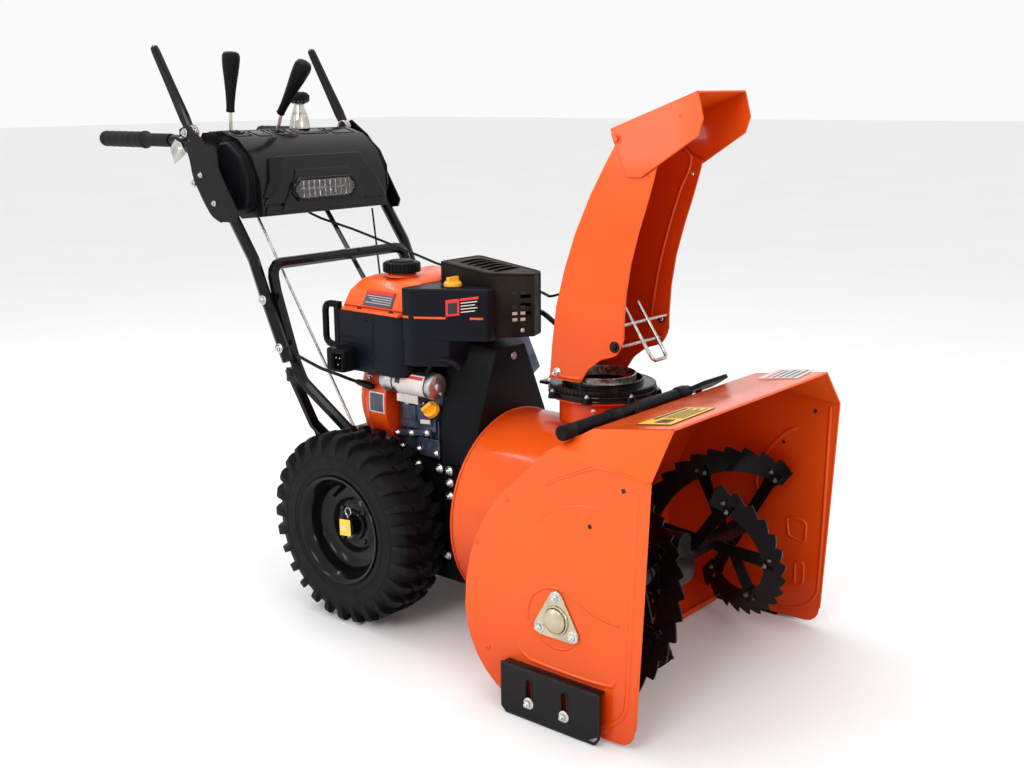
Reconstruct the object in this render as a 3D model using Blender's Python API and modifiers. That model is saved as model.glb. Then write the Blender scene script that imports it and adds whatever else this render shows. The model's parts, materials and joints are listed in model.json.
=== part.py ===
"""Two stage snowblower, modelled as an assembly of its separate pieces.

Frame: +Z is up, the machine drives towards -Y, and the operator's right hand is at -X.  The origin lies on the
ground below the middle of the machine.  Lengths are metres.  Most places are given by their distance behind the
auger shaft, through rear(); height is above the ground and x is from the machine's middle plane.
"""

import math

import bmesh
import bpy
from mathutils import Matrix, Vector

# ------------------------------------------------------------------ driving dimensions
GAP = 0.0003                 # left between neighbours that touch
SHEET = 0.0025               # sheet steel
RIGHT, LEFT = -1, 1          # sides of the machine, as signs of x

CLEARING_WIDTH = 0.669       # over the bucket's side plates
AUGER_Y = -0.6165            # the auger shaft, and its height
AUGER_Z = 0.197
AUGER_RADIUS = 0.176
WORM_OFFSET = 0.050          # the impeller shaft runs this far above the auger shaft
IMPELLER_Z = AUGER_Z + WORM_OFFSET
DRUM_RADIUS = 0.202
DRUM_REAR = 0.368            # behind the auger shaft
BUCKET_FLOOR = 0.0125
VISOR_FRONT = -0.187         # behind the auger shaft, so the minus sign is ahead of it
VISOR_Z = 0.5505
FACET_INSET = 0.061          # the visor's front corners are cut back by this much in x
FACET_Z = 0.479              # top of the side plates at the front

CHUTE_X = 0.060              # axis the chute turns on
CHUTE_REAR = 0.191
CHUTE_RING_Z = 0.5003        # top flange of the drum's outlet neck
CHUTE_HALF_WIDTH = 0.078

WHEEL_REAR = 0.628           # axle, behind the auger shaft
WHEEL_RADIUS = 0.202
TYRE_WIDTH = 0.122
TYRE_OUTER_X = 0.269

CRANK_Z = 0.455              # engine crankshaft
CHASSIS_HALF = 0.130
CHASSIS_TOP = 0.345
UBAR_HALF = 0.200            # legs of the lower U-shaped bar, from the middle plane
HANDLE_HALF = 0.227          # handle tubes, bolted outside those legs
GRIP_HALF = 0.230
LEVER_X = 0.2275
TUBE_RADIUS = 0.0125
SKID_OUTER_X = 0.354


def rear(distance):
    """World y of a point that far behind the auger shaft."""
    return AUGER_Y + distance


# ------------------------------------------------------------------ scene and materials
def clear_scene():
    for obj in list(bpy.data.objects):
        bpy.data.objects.remove(obj, do_unlink=True)


def new_collection(name):
    group = bpy.data.collections.new(name)
    bpy.context.scene.collection.children.link(group)
    return group


FINISHES = {                 # colour, roughness, metallic
    "orange_paint": ((0.90, 0.11, 0.012), 0.25, 0.0),
    "orange_plastic": ((0.88, 0.10, 0.015), 0.35, 0.0),
    "black_paint": ((0.012, 0.012, 0.013), 0.25, 0.0),
    "black_plastic": ((0.014, 0.014, 0.016), 0.55, 0.0),
    "grip_rubber": ((0.010, 0.010, 0.010), 0.75, 0.0),
    "tyre_rubber": ((0.012, 0.012, 0.012), 0.70, 0.0),
    "belt_rubber": ((0.015, 0.015, 0.015), 0.80, 0.0),
    "cable_jacket": ((0.010, 0.010, 0.010), 0.50, 0.0),
    "zinc": ((0.62, 0.62, 0.60), 0.30, 1.0),
    "cast_alloy": ((0.42, 0.43, 0.44), 0.50, 1.0),
    "yellow_plastic": ((0.90, 0.42, 0.02), 0.40, 0.0),
    "lamp_lens": ((0.80, 0.80, 0.78), 0.10, 0.0),
}


def material(finish):
    """The shared Principled material of that finish, made the first time it is asked for."""
    found = bpy.data.materials.get(finish)
    if found:
        return found
    colour, roughness, metallic = FINISHES[finish]
    made = bpy.data.materials.new(finish)
    made.use_nodes = True
    shader = made.node_tree.nodes["Principled BSDF"]
    shader.inputs["Base Color"].default_value = (*colour, 1.0)
    shader.inputs["Roughness"].default_value = roughness
    shader.inputs["Metallic"].default_value = metallic
    return made


def pivot(name, place):
    """An empty on a joint's axis, which carries the pieces that turn or slide there."""
    empty = bpy.data.objects.new(name, None)
    empty.location = place
    PARTS.objects.link(empty)
    bpy.context.view_layer.update()
    return empty


def piece(obj, name, finish, carrier=None):
    """Make obj the named sub-part, in its finish, and hang it on its joint's empty."""
    obj.name = name
    obj.data.name = name
    obj.data.materials.clear()
    obj.data.materials.append(material(finish))
    move_to(obj, PARTS)
    if obj.type == "MESH":
        obj.data.shade_smooth()
        obj.data.set_sharp_from_angle(angle=math.radians(35))
    if carrier:
        obj.parent = carrier
        obj.matrix_parent_inverse = carrier.matrix_world.inverted()
    return obj


def move_to(obj, group):
    for owner in list(obj.users_collection):
        owner.objects.unlink(obj)
    group.objects.link(obj)


# ------------------------------------------------------------------ shapes
def block(low, high):
    """A box between two corners."""
    low, high = Vector(low), Vector(high)
    bpy.ops.mesh.primitive_cube_add(size=1.0)
    obj = bpy.context.object
    obj.data.transform(Matrix.Translation((low + high) / 2) @ Matrix.Diagonal((*(high - low), 1.0)))
    return obj


def rod(start, end, radius, sides=24, end_radius=None):
    """A round bar, or a cone, from one point to another."""
    start, end = Vector(start), Vector(end)
    along = end - start
    tip = radius if end_radius is None else end_radius
    bpy.ops.mesh.primitive_cone_add(vertices=sides, radius1=radius, radius2=tip, depth=along.length)
    obj = bpy.context.object
    turn = along.to_track_quat("Z", "Y").to_matrix().to_4x4()
    obj.data.transform(Matrix.Translation((start + end) / 2) @ turn)
    return obj


def arc(centre, radius, start, end, steps):
    """Points on a circle from one angle to another, in degrees."""
    angles = [math.radians(start + (end - start) * step / steps) for step in range(steps + 1)]
    return [(centre[0] + radius * math.cos(a), centre[1] + radius * math.sin(a)) for a in angles]


def ring_outline(radius, sides, centre=(0.0, 0.0)):
    return arc(centre, radius, 0, 360, sides)[:-1]


def as_mesh(curve_object):
    """The closed mesh of a curve object, which it replaces."""
    bpy.context.view_layer.update()
    graph = bpy.context.evaluated_depsgraph_get()
    mesh = bpy.data.meshes.new_from_object(curve_object.evaluated_get(graph))
    shell = bmesh.new()
    shell.from_mesh(mesh)
    bmesh.ops.remove_doubles(shell, verts=shell.verts, dist=0.00001)
    bmesh.ops.recalc_face_normals(shell, faces=shell.faces)
    shell.to_mesh(mesh)
    shell.free()
    obj = bpy.data.objects.new(curve_object.name, mesh)
    obj.matrix_world = curve_object.matrix_world
    bpy.context.scene.collection.objects.link(obj)
    bpy.data.objects.remove(curve_object, do_unlink=True)
    return obj


PLANES = {                   # which way a flat outline's own x, y and thickness point
    "X": Matrix(((0, 0, 1, 0), (1, 0, 0, 0), (0, 1, 0, 0), (0, 0, 0, 1))),
    "Y": Matrix(((1, 0, 0, 0), (0, 0, -1, 0), (0, 1, 0, 0), (0, 0, 0, 1))),
    "Z": Matrix.Identity(4),
}


def plate(outline, axis, low, high, holes=()):
    """A flat outline, with any holes, thick from low to high along the axis it faces."""
    curve = bpy.data.curves.new("plate", "CURVE")
    curve.dimensions = "2D"
    curve.fill_mode = "BOTH"
    curve.extrude = abs(high - low) / 2
    for loop in (outline, *holes):
        spline = curve.splines.new("POLY")
        spline.points.add(len(loop) - 1)
        for point, (u, v) in zip(spline.points, loop):
            point.co = (u, v, 0.0, 1.0)
        spline.use_cyclic_u = True
    obj = bpy.data.objects.new("plate", curve)
    bpy.context.scene.collection.objects.link(obj)
    middle = (low + high) / 2 * (-1 if axis == "Y" else 1)
    obj = as_mesh(obj)
    obj.data.transform(PLANES[axis] @ Matrix.Translation((0, 0, middle)))
    return obj


def tube(points, radius, resolution=2):
    """A round bar or pipe along points, as a curve with filled caps."""
    curve = bpy.data.curves.new("tube", "CURVE")
    curve.dimensions = "3D"
    curve.fill_mode = "FULL"
    curve.bevel_depth = radius
    curve.bevel_resolution = resolution
    curve.use_fill_caps = True
    spline = curve.splines.new("POLY")
    spline.points.add(len(points) - 1)
    for point, place in zip(spline.points, points):
        point.co = (*place, 1.0)
    obj = bpy.data.objects.new("tube", curve)
    bpy.context.scene.collection.objects.link(obj)
    return obj


def rounded(points, bend, steps=4):
    """A path through points with each corner turned into an arc of radius bend."""
    path = [Vector(points[0])]
    for before, corner, after in zip(points, points[1:], points[2:]):
        corner = Vector(corner)
        inward, outward = Vector(before) - corner, Vector(after) - corner
        half = inward.angle(outward) / 2
        reach = min(bend / math.tan(half), 0.45 * inward.length, 0.45 * outward.length)
        radius = reach * math.tan(half)
        centre = corner + (inward.normalized() + outward.normalized()).normalized() * radius / math.sin(half)
        first = corner + inward.normalized() * reach - centre
        last = corner + outward.normalized() * reach - centre
        sweep = first.angle(last)
        for step in range(steps + 1):
            part = sweep * step / steps
            mixed = (first * math.sin(sweep - part) + last * math.sin(part)) / math.sin(sweep)
            path.append(centre + mixed)
    path.append(Vector(points[-1]))
    return path


def smooth(points, steps):
    """A path that runs smoothly through points, for cables."""
    knots = [Vector(p) for p in points]
    knots = [2 * knots[0] - knots[1], *knots, 2 * knots[-1] - knots[-2]]
    path = []
    for a, b, c, d in zip(knots, knots[1:], knots[2:], knots[3:]):
        for step in range(steps):
            t = step / steps
            path.append(b + (c - a) * t / 2 + (a - 2.5 * b + 2 * c - d / 2) * t ** 2
                        + (1.5 * (b - c) + (d - a) / 2) * t ** 3)
    path.append(knots[-2])
    return path


def turned(profile, place, axis, steps=32):
    """A profile of (radius, height) turned about an axis; it runs down its outer side, top to bottom."""
    closed = profile[0][0] > 0
    mesh = bpy.data.meshes.new("turned")
    edges = [(i, i + 1) for i in range(len(profile) - 1)]
    if closed:
        edges.append((len(profile) - 1, 0))
    mesh.from_pydata([(r, 0.0, h) for r, h in profile], edges, [])
    obj = bpy.data.objects.new("turned", mesh)
    bpy.context.scene.collection.objects.link(obj)
    screw = obj.modifiers.new("turn", "SCREW")
    screw.steps = screw.render_steps = steps
    screw.use_merge_vertices = True
    screw.merge_threshold = 0.00001
    obj.matrix_world = Matrix.Translation(place) @ Vector(axis).to_track_quat("Z", "Y").to_matrix().to_4x4()
    return obj


def loft(sections):
    """A solid through closed outlines that have the same number of points."""
    mesh = bmesh.new()
    rings = [[mesh.verts.new(point) for point in section] for section in sections]
    for lower, upper in zip(rings, rings[1:]):
        for i in range(len(lower)):
            j = (i + 1) % len(lower)
            mesh.faces.new((lower[i], lower[j], upper[j], upper[i]))
    mesh.faces.new(rings[0])
    mesh.faces.new(rings[-1])
    bmesh.ops.recalc_face_normals(mesh, faces=mesh.faces)
    data = bpy.data.meshes.new("loft")
    mesh.to_mesh(data)
    mesh.free()
    obj = bpy.data.objects.new("loft", data)
    bpy.context.scene.collection.objects.link(obj)
    return obj


def surface(points, faces):
    """An open surface of a few faces, to be thickened."""
    mesh = bpy.data.meshes.new("surface")
    mesh.from_pydata(points, [], faces)
    obj = bpy.data.objects.new("surface", mesh)
    bpy.context.scene.collection.objects.link(obj)
    return obj


def boolean(target, operation, others):
    for other in others:
        if other.type == "CURVE":
            other = as_mesh(other)
        modifier = target.modifiers.new(operation.lower(), "BOOLEAN")
        modifier.operation = operation
        modifier.solver = "EXACT"
        modifier.object = other
        other.name = "cutter"
        other.hide_render = True
        other.display_type = "WIRE"
        move_to(other, CUTTERS)
    return target


def cut(target, *others):
    return boolean(target, "DIFFERENCE", others)


def join(target, *others):
    return boolean(target, "UNION", others)


def bevel(obj, width, segments=1):
    modifier = obj.modifiers.new("bevel", "BEVEL")
    modifier.width = width
    modifier.segments = segments
    modifier.limit_method = "ANGLE"
    modifier.angle_limit = math.radians(40)
    return obj


# ------------------------------------------------------------------ bucket
def bucket_profile(grow):
    """The wrap's curve as (y, z), from the bottom lip, round the back, to the visor's front edge."""
    back = (rear(0.046), BUCKET_FLOOR + 0.160)
    shoulder = (rear(-0.124), BUCKET_FLOOR + 0.160)
    return [
        *arc(back, 0.160 + grow, -78, 0, 7),
        *arc(shoulder, 0.330 + grow, 0, 42, 5)[1:],
        (rear(0.018) + 0.7 * grow, 0.494 + 0.7 * grow),
        (rear(-0.030) + 0.4 * grow, 0.527 + grow),
        (rear(VISOR_FRONT), VISOR_Z + grow),
    ]


def bucket_wrap():
    """Floor, back and visor, folded from one sheet, with the round opening to the drum and the scraper bar welded on."""
    profile = bucket_profile(0.0)
    plate_inside = CLEARING_WIDTH / 2 - SHEET - GAP
    visor_inside = CLEARING_WIDTH / 2 - FACET_INSET - 0.0035
    widths = [plate_inside] * (len(profile) - 3) + [plate_inside - 0.004] + [visor_inside - 0.003] * 2
    points = []
    for (y, z), half in zip(profile, widths):
        points += [(-half, y, z), (half, y, z)]
    faces = [(i, i + 2, i + 3, i + 1) for i in range(0, len(points) - 2, 2)]
    wrap = surface(points, faces)
    thicken = wrap.modifiers.new("sheet", "SOLIDIFY")
    thicken.thickness = SHEET
    thicken.offset = 1.0
    hole = rod((0, rear(0.01), IMPELLER_Z), (0, rear(0.30), IMPELLER_Z), DRUM_RADIUS - 0.0035, 40)
    bar = block((-0.318, rear(0.070), 0.0035), (0.318, rear(0.096), 0.0152))
    piece(join(cut(wrap, hole), bar), "bucket_wrap", "orange_paint")


def side_plate(side, name):
    """A flat side with its top folded in to meet the visor."""
    x = side * CLEARING_WIDTH / 2
    lower = bucket_profile(0.0065)[:-3]
    sill = (rear(0.046), BUCKET_FLOOR - 0.0065)
    front_foot = arc((rear(-0.1335), 0.038), 0.030, 180, 270, 4)
    outline = [(rear(VISOR_FRONT), FACET_Z), *front_foot, sill, *lower, (rear(0.018), 0.497), (rear(-0.079), 0.486)]
    points = [(x, y, z) for y, z in outline]
    count = len(points)
    inner = side * (CLEARING_WIDTH / 2 - FACET_INSET)
    points += [(inner, rear(-0.030), 0.5295), (inner, rear(VISOR_FRONT), VISOR_Z + SHEET)]
    faces = [tuple(range(count)), (count - 1, count - 2, count), (0, count - 1, count, count + 1)]
    if side == RIGHT:
        faces = [tuple(reversed(face)) for face in faces]
    obj = surface(points, faces)
    thicken = obj.modifiers.new("sheet", "SOLIDIFY")
    thicken.thickness = SHEET
    thicken.offset = -1.0
    thicken.use_even_offset = True
    hole = rod((x - 0.02, AUGER_Y, AUGER_Z), (x + 0.02, AUGER_Y, AUGER_Z), 0.015, 20)
    piece(cut(obj, hole), name, "orange_paint")


def skid_shoe(side, name):
    """A folded shoe: an upright face with two height slots, a top flange and a runner."""
    outer, inner = side * SKID_OUTER_X, side * (CLEARING_WIDTH / 2 + GAP)
    web_inner = side * (SKID_OUTER_X - 0.0035)
    front, back, top = rear(-0.106), rear(0.112), 0.096
    outline = [(back, top), (back, 0.010), (back - 0.012, 0.0), (front + 0.036, 0.0), (front, 0.020), (front, top)]
    slots = []
    for middle in (rear(0.048), rear(-0.030)):
        high = arc((middle, 0.072), 0.0055, 0, 180, 4)
        slots.append(high + arc((middle, 0.033), 0.0055, 180, 360, 4))
    web = plate(outline, "X", min(outer, web_inner), max(outer, web_inner), slots)
    lip = side * (SKID_OUTER_X - 0.001)
    flange = block((min(lip, inner), front + 0.004, top - 0.0035), (max(lip, inner), back - 0.004, top - 0.0001))
    runner = block((min(lip, inner), front + 0.040, 0.0002), (max(lip, inner), back - 0.014, 0.0035))
    piece(join(web, flange, runner), name, "black_paint")


def auger_bearing(side, name):
    """A three-bolt flange with a round cap over the shaft's end."""
    corners = []
    for angle in (90, 210, 330):
        centre = arc((AUGER_Y, AUGER_Z), 0.042, angle, angle, 1)[0]
        corners += arc(centre, 0.013, angle - 60, angle + 60, 2)
    base = side * (CLEARING_WIDTH / 2 + GAP)
    face = base + side * 0.003
    flange = plate(corners, "X", min(base, face), max(base, face), [ring_outline(0.0155, 20, (AUGER_Y, AUGER_Z))])
    cap = turned([(0.0, 0.0135), (0.017, 0.0125), (0.0225, 0.009), (0.0235, 0.001), (0.0150, 0.001), (0.0150, 0.0105),
                  (0.0, 0.0105)], (base, AUGER_Y, AUGER_Z), (side, 0, 0), 16)
    piece(join(flange, cap), name, "zinc")


# ------------------------------------------------------------------ augers and gearbox
WORM_WHEEL_TEETH = 20
WORM_STARTS = 2
WHEEL_PITCH_RADIUS = 0.038
WORM_LEAD = 2 * math.pi * WHEEL_PITCH_RADIUS / WORM_WHEEL_TEETH * WORM_STARTS


def worm_wheel_outline():
    """Twenty tapered teeth; a gap faces straight up, where the worm's thread sits at rest."""
    root, tip, points = 0.0345, 0.0400, []
    for tooth in range(WORM_WHEEL_TEETH):
        middle = 90 + 360 / WORM_WHEEL_TEETH * (tooth + 0.5)
        for radius, half in ((root, 0.0020), (tip, 0.0012)):
            points += arc((AUGER_Y, AUGER_Z), radius, middle - math.degrees(half / radius), 0, 1)[:1]
        for radius, half in ((tip, 0.0012), (root, 0.0020)):
            points += arc((AUGER_Y, AUGER_Z), radius, middle + math.degrees(half / radius), 0, 1)[:1]
    return points


def auger_shaft(carrier):
    end = CLEARING_WIDTH / 2 + 0.004
    shaft = rod((-end, AUGER_Y, AUGER_Z), (end, AUGER_Y, AUGER_Z), 0.0125, 20)
    wheel = plate(worm_wheel_outline(), "X", -0.006, 0.006)
    piece(join(shaft, wheel), "auger_shaft", "cast_alloy", carrier)


def ribbon(side, turn, start_x, end_x, sweep):
    """One serrated helical band; its outer edge steps in and out to make the teeth. Both hands turn from the middle out."""
    steps = 30
    inner, valley, thick = AUGER_RADIUS - 0.052, AUGER_RADIUS - 0.012, 0.004
    sections = []
    for step in range(steps + 1):
        angle = math.radians(turn + sweep * step / steps)
        x = side * (start_x + (end_x - start_x) * step / steps)
        outer = AUGER_RADIUS if step % 3 else valley
        section = []
        for radius, shift in ((inner, -thick), (outer, -thick), (outer, thick), (inner, thick)):
            section.append((x + shift / 2, AUGER_Y + radius * math.cos(angle), AUGER_Z + radius * math.sin(angle)))
        sections.append(section)
    return loft(sections)


def auger(side, name, carrier):
    """A sleeve with two serrated ribbons half a turn apart, held on flat arms."""
    start_x, end_x, sweep = 0.072, 0.312, 195
    first = 64 if side < 0 else 114
    sleeve = turned([(0.0175, 0.327), (0.0175, 0.062), (0.0132, 0.062), (0.0132, 0.327)],
                    (0, AUGER_Y, AUGER_Z), (side, 0, 0), 16)
    extras = []
    for turn in (first, first + 180):
        extras.append(ribbon(side, turn, start_x, end_x, sweep))
        for share in (0.08, 0.5, 0.92):
            angle = math.radians(turn + sweep * share)
            x = side * (start_x + (end_x - start_x) * share)
            arm = block((-0.0025, 0.0160, -0.011), (0.0025, AUGER_RADIUS - 0.030, 0.011))
            arm.data.transform(Matrix.Translation((x, AUGER_Y, AUGER_Z)) @ Matrix.Rotation(angle, 4, "X"))
            extras.append(arm)
    piece(join(sleeve, *extras), name, "black_paint", carrier)


def gearbox_housing():
    """A cast case round the worm wheel, with a snout back along the impeller shaft."""
    case = rod((-0.030, AUGER_Y, AUGER_Z), (0.030, AUGER_Y, AUGER_Z), 0.0505, 30)
    hubs = rod((-0.050, AUGER_Y, AUGER_Z), (0.050, AUGER_Y, AUGER_Z), 0.0221, 18)
    snout = rod((0, rear(-0.045), IMPELLER_Z), (0, rear(0.110), IMPELLER_Z), 0.024, 20)
    join(case, hubs, snout)
    hollow = rod((-0.012, AUGER_Y, AUGER_Z), (0.012, AUGER_Y, AUGER_Z), 0.0432, 26)
    worm_room = rod((0, rear(-0.038), IMPELLER_Z), (0, rear(0.040), IMPELLER_Z), 0.0170, 22)
    bore = rod((-0.06, AUGER_Y, AUGER_Z), (0.06, AUGER_Y, AUGER_Z), 0.0131, 20)
    snout_bore = rod((0, rear(0.0), IMPELLER_Z), (0, rear(0.12), IMPELLER_Z), 0.0100, 18)
    piece(cut(case, hollow, worm_room, bore, snout_bore), "gearbox_housing", "black_paint")


# ------------------------------------------------------------------ impeller and drum
def impeller_drum():
    """The round drum behind the bucket, open on top under the outlet neck; its front edge follows the wrap."""
    wall, back = 0.0035, 0.0035
    drum = rod((0, rear(0.02), IMPELLER_Z), (0, rear(DRUM_REAR), IMPELLER_Z), DRUM_RADIUS, 40)
    hollow = rod((0, rear(0.0), IMPELLER_Z), (0, rear(DRUM_REAR - back), IMPELLER_Z), DRUM_RADIUS - wall, 40)
    throat = rod((CHUTE_X, rear(CHUTE_REAR), IMPELLER_Z + 0.05), (CHUTE_X, rear(CHUTE_REAR), 0.60), 0.0865 - wall, 28)
    shaft_hole = rod((0, rear(DRUM_REAR - 0.02), IMPELLER_Z), (0, rear(DRUM_REAR + 0.02), IMPELLER_Z), 0.0105, 20)
    bucket = plate([(rear(-0.150), 0.0), *bucket_profile(SHEET + GAP)], "X", -0.34, 0.34)
    piece(cut(drum, hollow, throat, shaft_hole, bucket), "impeller_drum", "orange_paint")


def outlet_neck():
    """The flanged pipe that stands on the drum, its foot cut to the drum's round."""
    place = (CHUTE_X, rear(CHUTE_REAR))
    neck = rod((*place, IMPELLER_Z + 0.08), (*place, CHUTE_RING_Z - GAP), 0.0865, 28)
    flange = rod((*place, CHUTE_RING_Z - 0.006), (*place, CHUTE_RING_Z - GAP), 0.103, 28)
    throat = rod((*place, IMPELLER_Z + 0.05), (*place, 0.60), 0.0865 - 0.0035, 28)
    saddle = rod((0, rear(-0.05), IMPELLER_Z), (0, rear(DRUM_REAR + 0.05), IMPELLER_Z), DRUM_RADIUS + 0.0003 / 0.99, 40)
    piece(cut(join(neck, flange), throat, saddle), "outlet_neck", "orange_paint")


def impeller(carrier):
    """Four flat blades on a hub, with a back disc that stiffens them."""
    front, back, reach = rear(0.222), rear(DRUM_REAR - 0.012), DRUM_RADIUS - 0.0095
    hub = turned([(0.022, back), (0.022, front), (0.0098, front), (0.0098, back)], (0, 0, IMPELLER_Z), (0, 1, 0), 20)
    blades = []
    for number in range(4):
        blade = block((-0.002, front + 0.01, 0.018), (0.002, back, reach))
        tip = block((-0.002, front + 0.01, reach - 0.030), (0.022, back, reach - 0.026))
        for part in (blade, tip):
            part.data.transform(Matrix.Translation((0, 0, IMPELLER_Z)) @ Matrix.Rotation(number * math.pi / 2, 4, "Y"))
            blades.append(part)
    disc = rod((0, back - 0.004, IMPELLER_Z), (0, back + 0.001, IMPELLER_Z), 0.110, 24)
    bore = rod((0, front - 0.01, IMPELLER_Z), (0, back + 0.01, IMPELLER_Z), 0.0098, 20)
    piece(cut(join(hub, disc, *blades), bore), "impeller", "black_paint", carrier)


def worm_thread(start):
    """One raised thread of the worm, standing on the shaft."""
    steps, length = 18, 0.036
    root, tip = 0.0078, 0.0140
    sections = []
    for step in range(steps + 1):
        along = -length / 2 + length * step / steps
        angle = 2 * math.pi * along / WORM_LEAD + math.pi * (1 + 2 * start / WORM_STARTS)
        section = []
        for radius, shift in ((root, -0.0021), (tip, -0.0012), (tip, 0.0012), (root, 0.0021)):
            section.append((radius * math.sin(angle), AUGER_Y + along + shift, IMPELLER_Z + radius * math.cos(angle)))
        sections.append(section)
    return loft(sections)


def pulley_profile(radius, width, bore=0.0):
    """A V-belt pulley about its own axis: rim, groove, rim."""
    half, groove = width / 2, radius - 0.012
    profile = [(radius, half), (radius, half - 0.002), (groove, 0.003), (groove, -0.003), (radius, 0.002 - half),
               (radius, -half)]
    return [(bore, half), *profile, (bore, -half)]


def impeller_shaft(carrier):
    """The shaft through the drum: worm at the front, impeller in the middle, belt pulley behind."""
    shaft = rod((0, rear(-0.030), IMPELLER_Z), (0, rear(0.418), IMPELLER_Z), 0.0093, 20)
    pulley = turned(pulley_profile(0.096, 0.018), (0, rear(0.400), IMPELLER_Z), (0, 1, 0), 24)
    worms = [worm_thread(start) for start in range(WORM_STARTS)]
    piece(join(shaft, pulley, *worms), "impeller_shaft", "cast_alloy", carrier)


# ------------------------------------------------------------------ chute
def chute_base_ring():
    """The fixed black ring on the outlet neck, with the bracket of the turning gear."""
    place = (CHUTE_X, rear(CHUTE_REAR))
    ring = turned([(0.107, 0.012), (0.107, 0.0), (0.0835, 0.0), (0.0835, 0.012)], (*place, CHUTE_RING_Z), (0, 0, 1), 32)
    bracket = block((CHUTE_X + 0.070, rear(0.225), CHUTE_RING_Z), (CHUTE_X + 0.135, rear(0.262), CHUTE_RING_Z + 0.010))
    post = block((CHUTE_X + 0.118, rear(0.225), CHUTE_RING_Z), (CHUTE_X + 0.135, rear(0.262), CHUTE_RING_Z + 0.044))
    arm = block((CHUTE_X - 0.028, rear(0.285), CHUTE_RING_Z + 0.002), (CHUTE_X + 0.020, rear(0.330), CHUTE_RING_Z + 0.008))
    piece(join(ring, bracket, post, arm), "chute_base_ring", "black_paint")


def chute_ring(carrier):
    """The turning flange with the bright collar that the chute is bolted round."""
    profile = [(0.0815, 0.018), (0.0815, 0.0095), (0.104, 0.0090), (0.104, 0.0), (0.0790, 0.0), (0.0790, 0.018)]
    ring = turned(profile, (CHUTE_X, rear(CHUTE_REAR), CHUTE_RING_Z + 0.0123), (0, 0, 1), 32)
    piece(ring, "chute_ring", "zinc", carrier)


def chute_side_outline():
    """Side view of the chute as (y, z): up the back, along the top, down the mouth and round the arched foot."""
    return [(rear(0.2640), 0.531), (rear(0.2580), 0.598), (rear(0.2480), 0.675), (rear(0.2280), 0.749),
            (rear(0.2010), 0.823), (rear(0.1670), 0.894), (rear(0.1340), 0.951), (rear(0.1100), 0.989),
            (rear(0.0190), 0.956), (rear(0.0370), 0.893), (rear(0.0570), 0.832), (rear(0.0735), 0.773),
            (rear(0.0835), 0.714), (rear(0.0870), 0.660), (rear(0.0870), 0.628), (rear(0.1030), 0.598),
            (rear(0.1400), 0.583), (rear(0.1700), 0.560), (rear(0.1900), 0.531)]


def chute_body(carrier):
    """Back and two sides from one sheet, open to the front, with the wire guard across the mouth."""
    outline = chute_side_outline()
    outer = plate(outline, "X", CHUTE_X - CHUTE_HALF_WIDTH, CHUTE_X + CHUTE_HALF_WIDTH)
    wall = 0.0025
    back = [(y - wall, z) for y, z in outline[:8]]
    inside = [(back[0][0], 0.50), *back[1:], (rear(0.100), 1.02), (rear(-0.02), 1.02), (rear(-0.02), 0.50)]
    hollow = plate(inside, "X", CHUTE_X - CHUTE_HALF_WIDTH + wall, CHUTE_X + CHUTE_HALF_WIDTH - wall)
    cut(outer, hollow)
    half = CHUTE_HALF_WIDTH - 0.001
    bars = [rod((CHUTE_X - half, rear(y), z), (CHUTE_X + half, rear(y), z), 0.003, 8)
            for y, z in ((0.1045, 0.6110), (0.0925, 0.6550))]
    hoop = rounded([(CHUTE_X - 0.044, rear(0.114), 0.6900), (CHUTE_X - 0.044, rear(0.0430), 0.5880),
                    (CHUTE_X + 0.004, rear(0.0430), 0.5880), (CHUTE_X + 0.004, rear(0.114), 0.6900)], 0.010, 2)
    piece(join(outer, *bars, tube(hoop, 0.003)), "chute_body", "orange_paint", carrier)


DEFLECTOR_PIVOT = (0.112, 1.003)


def chute_deflector(carrier):
    """The tilting hood outside the chute's top: one top panel and two cheeks."""
    cheek = [(rear(0.1190), 1.016), (rear(0.1110), 0.992), (rear(0.0800), 0.931), (rear(0.0520), 0.931),
             (rear(-0.0670), 1.008), (rear(-0.0760), 1.036), (rear(-0.0630), 1.082)]
    half, wall = CHUTE_HALF_WIDTH + 0.0045, 0.0025
    hood = plate(cheek, "X", CHUTE_X - half, CHUTE_X + half)
    room = [(rear(0.160), 0.9985), (rear(0.1160), 1.0135), (rear(-0.0640), 1.0795), (rear(-0.10), 1.07),
            (rear(-0.10), 0.90), (rear(0.160), 0.90)]
    inside = plate(room, "X", CHUTE_X - half + wall, CHUTE_X + half - wall)
    piece(cut(hood, inside), "chute_deflector", "orange_paint", carrier)


# ------------------------------------------------------------------ clean-out tool
def clean_out_tool(carrier):
    """The stick and shovel carried across the top of the bucket behind the visor."""
    y, z = rear(0.0), 0.5265
    handle = rod((-0.322, y, z), (0.070, y, z), 0.0115, 16)
    collars = [rod((x, y, z), (x + 0.030, y, z), 0.0128, 14) for x in (-0.322, -0.190, 0.030)]
    blade = plate([(0.060, y - 0.012), (0.100, y - 0.026), (0.185, y - 0.022), (0.192, y + 0.0), (0.185, y + 0.022),
                   (0.100, y + 0.026), (0.060, y + 0.012)], "Z", z - 0.004, z + 0.004)
    place = Matrix.Translation((0, y, z))
    blade.data.transform(place @ Matrix.Rotation(math.radians(-34), 4, "X") @ place.inverted())
    piece(join(handle, *collars, blade), "clean_out_tool", "black_plastic", carrier)


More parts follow.
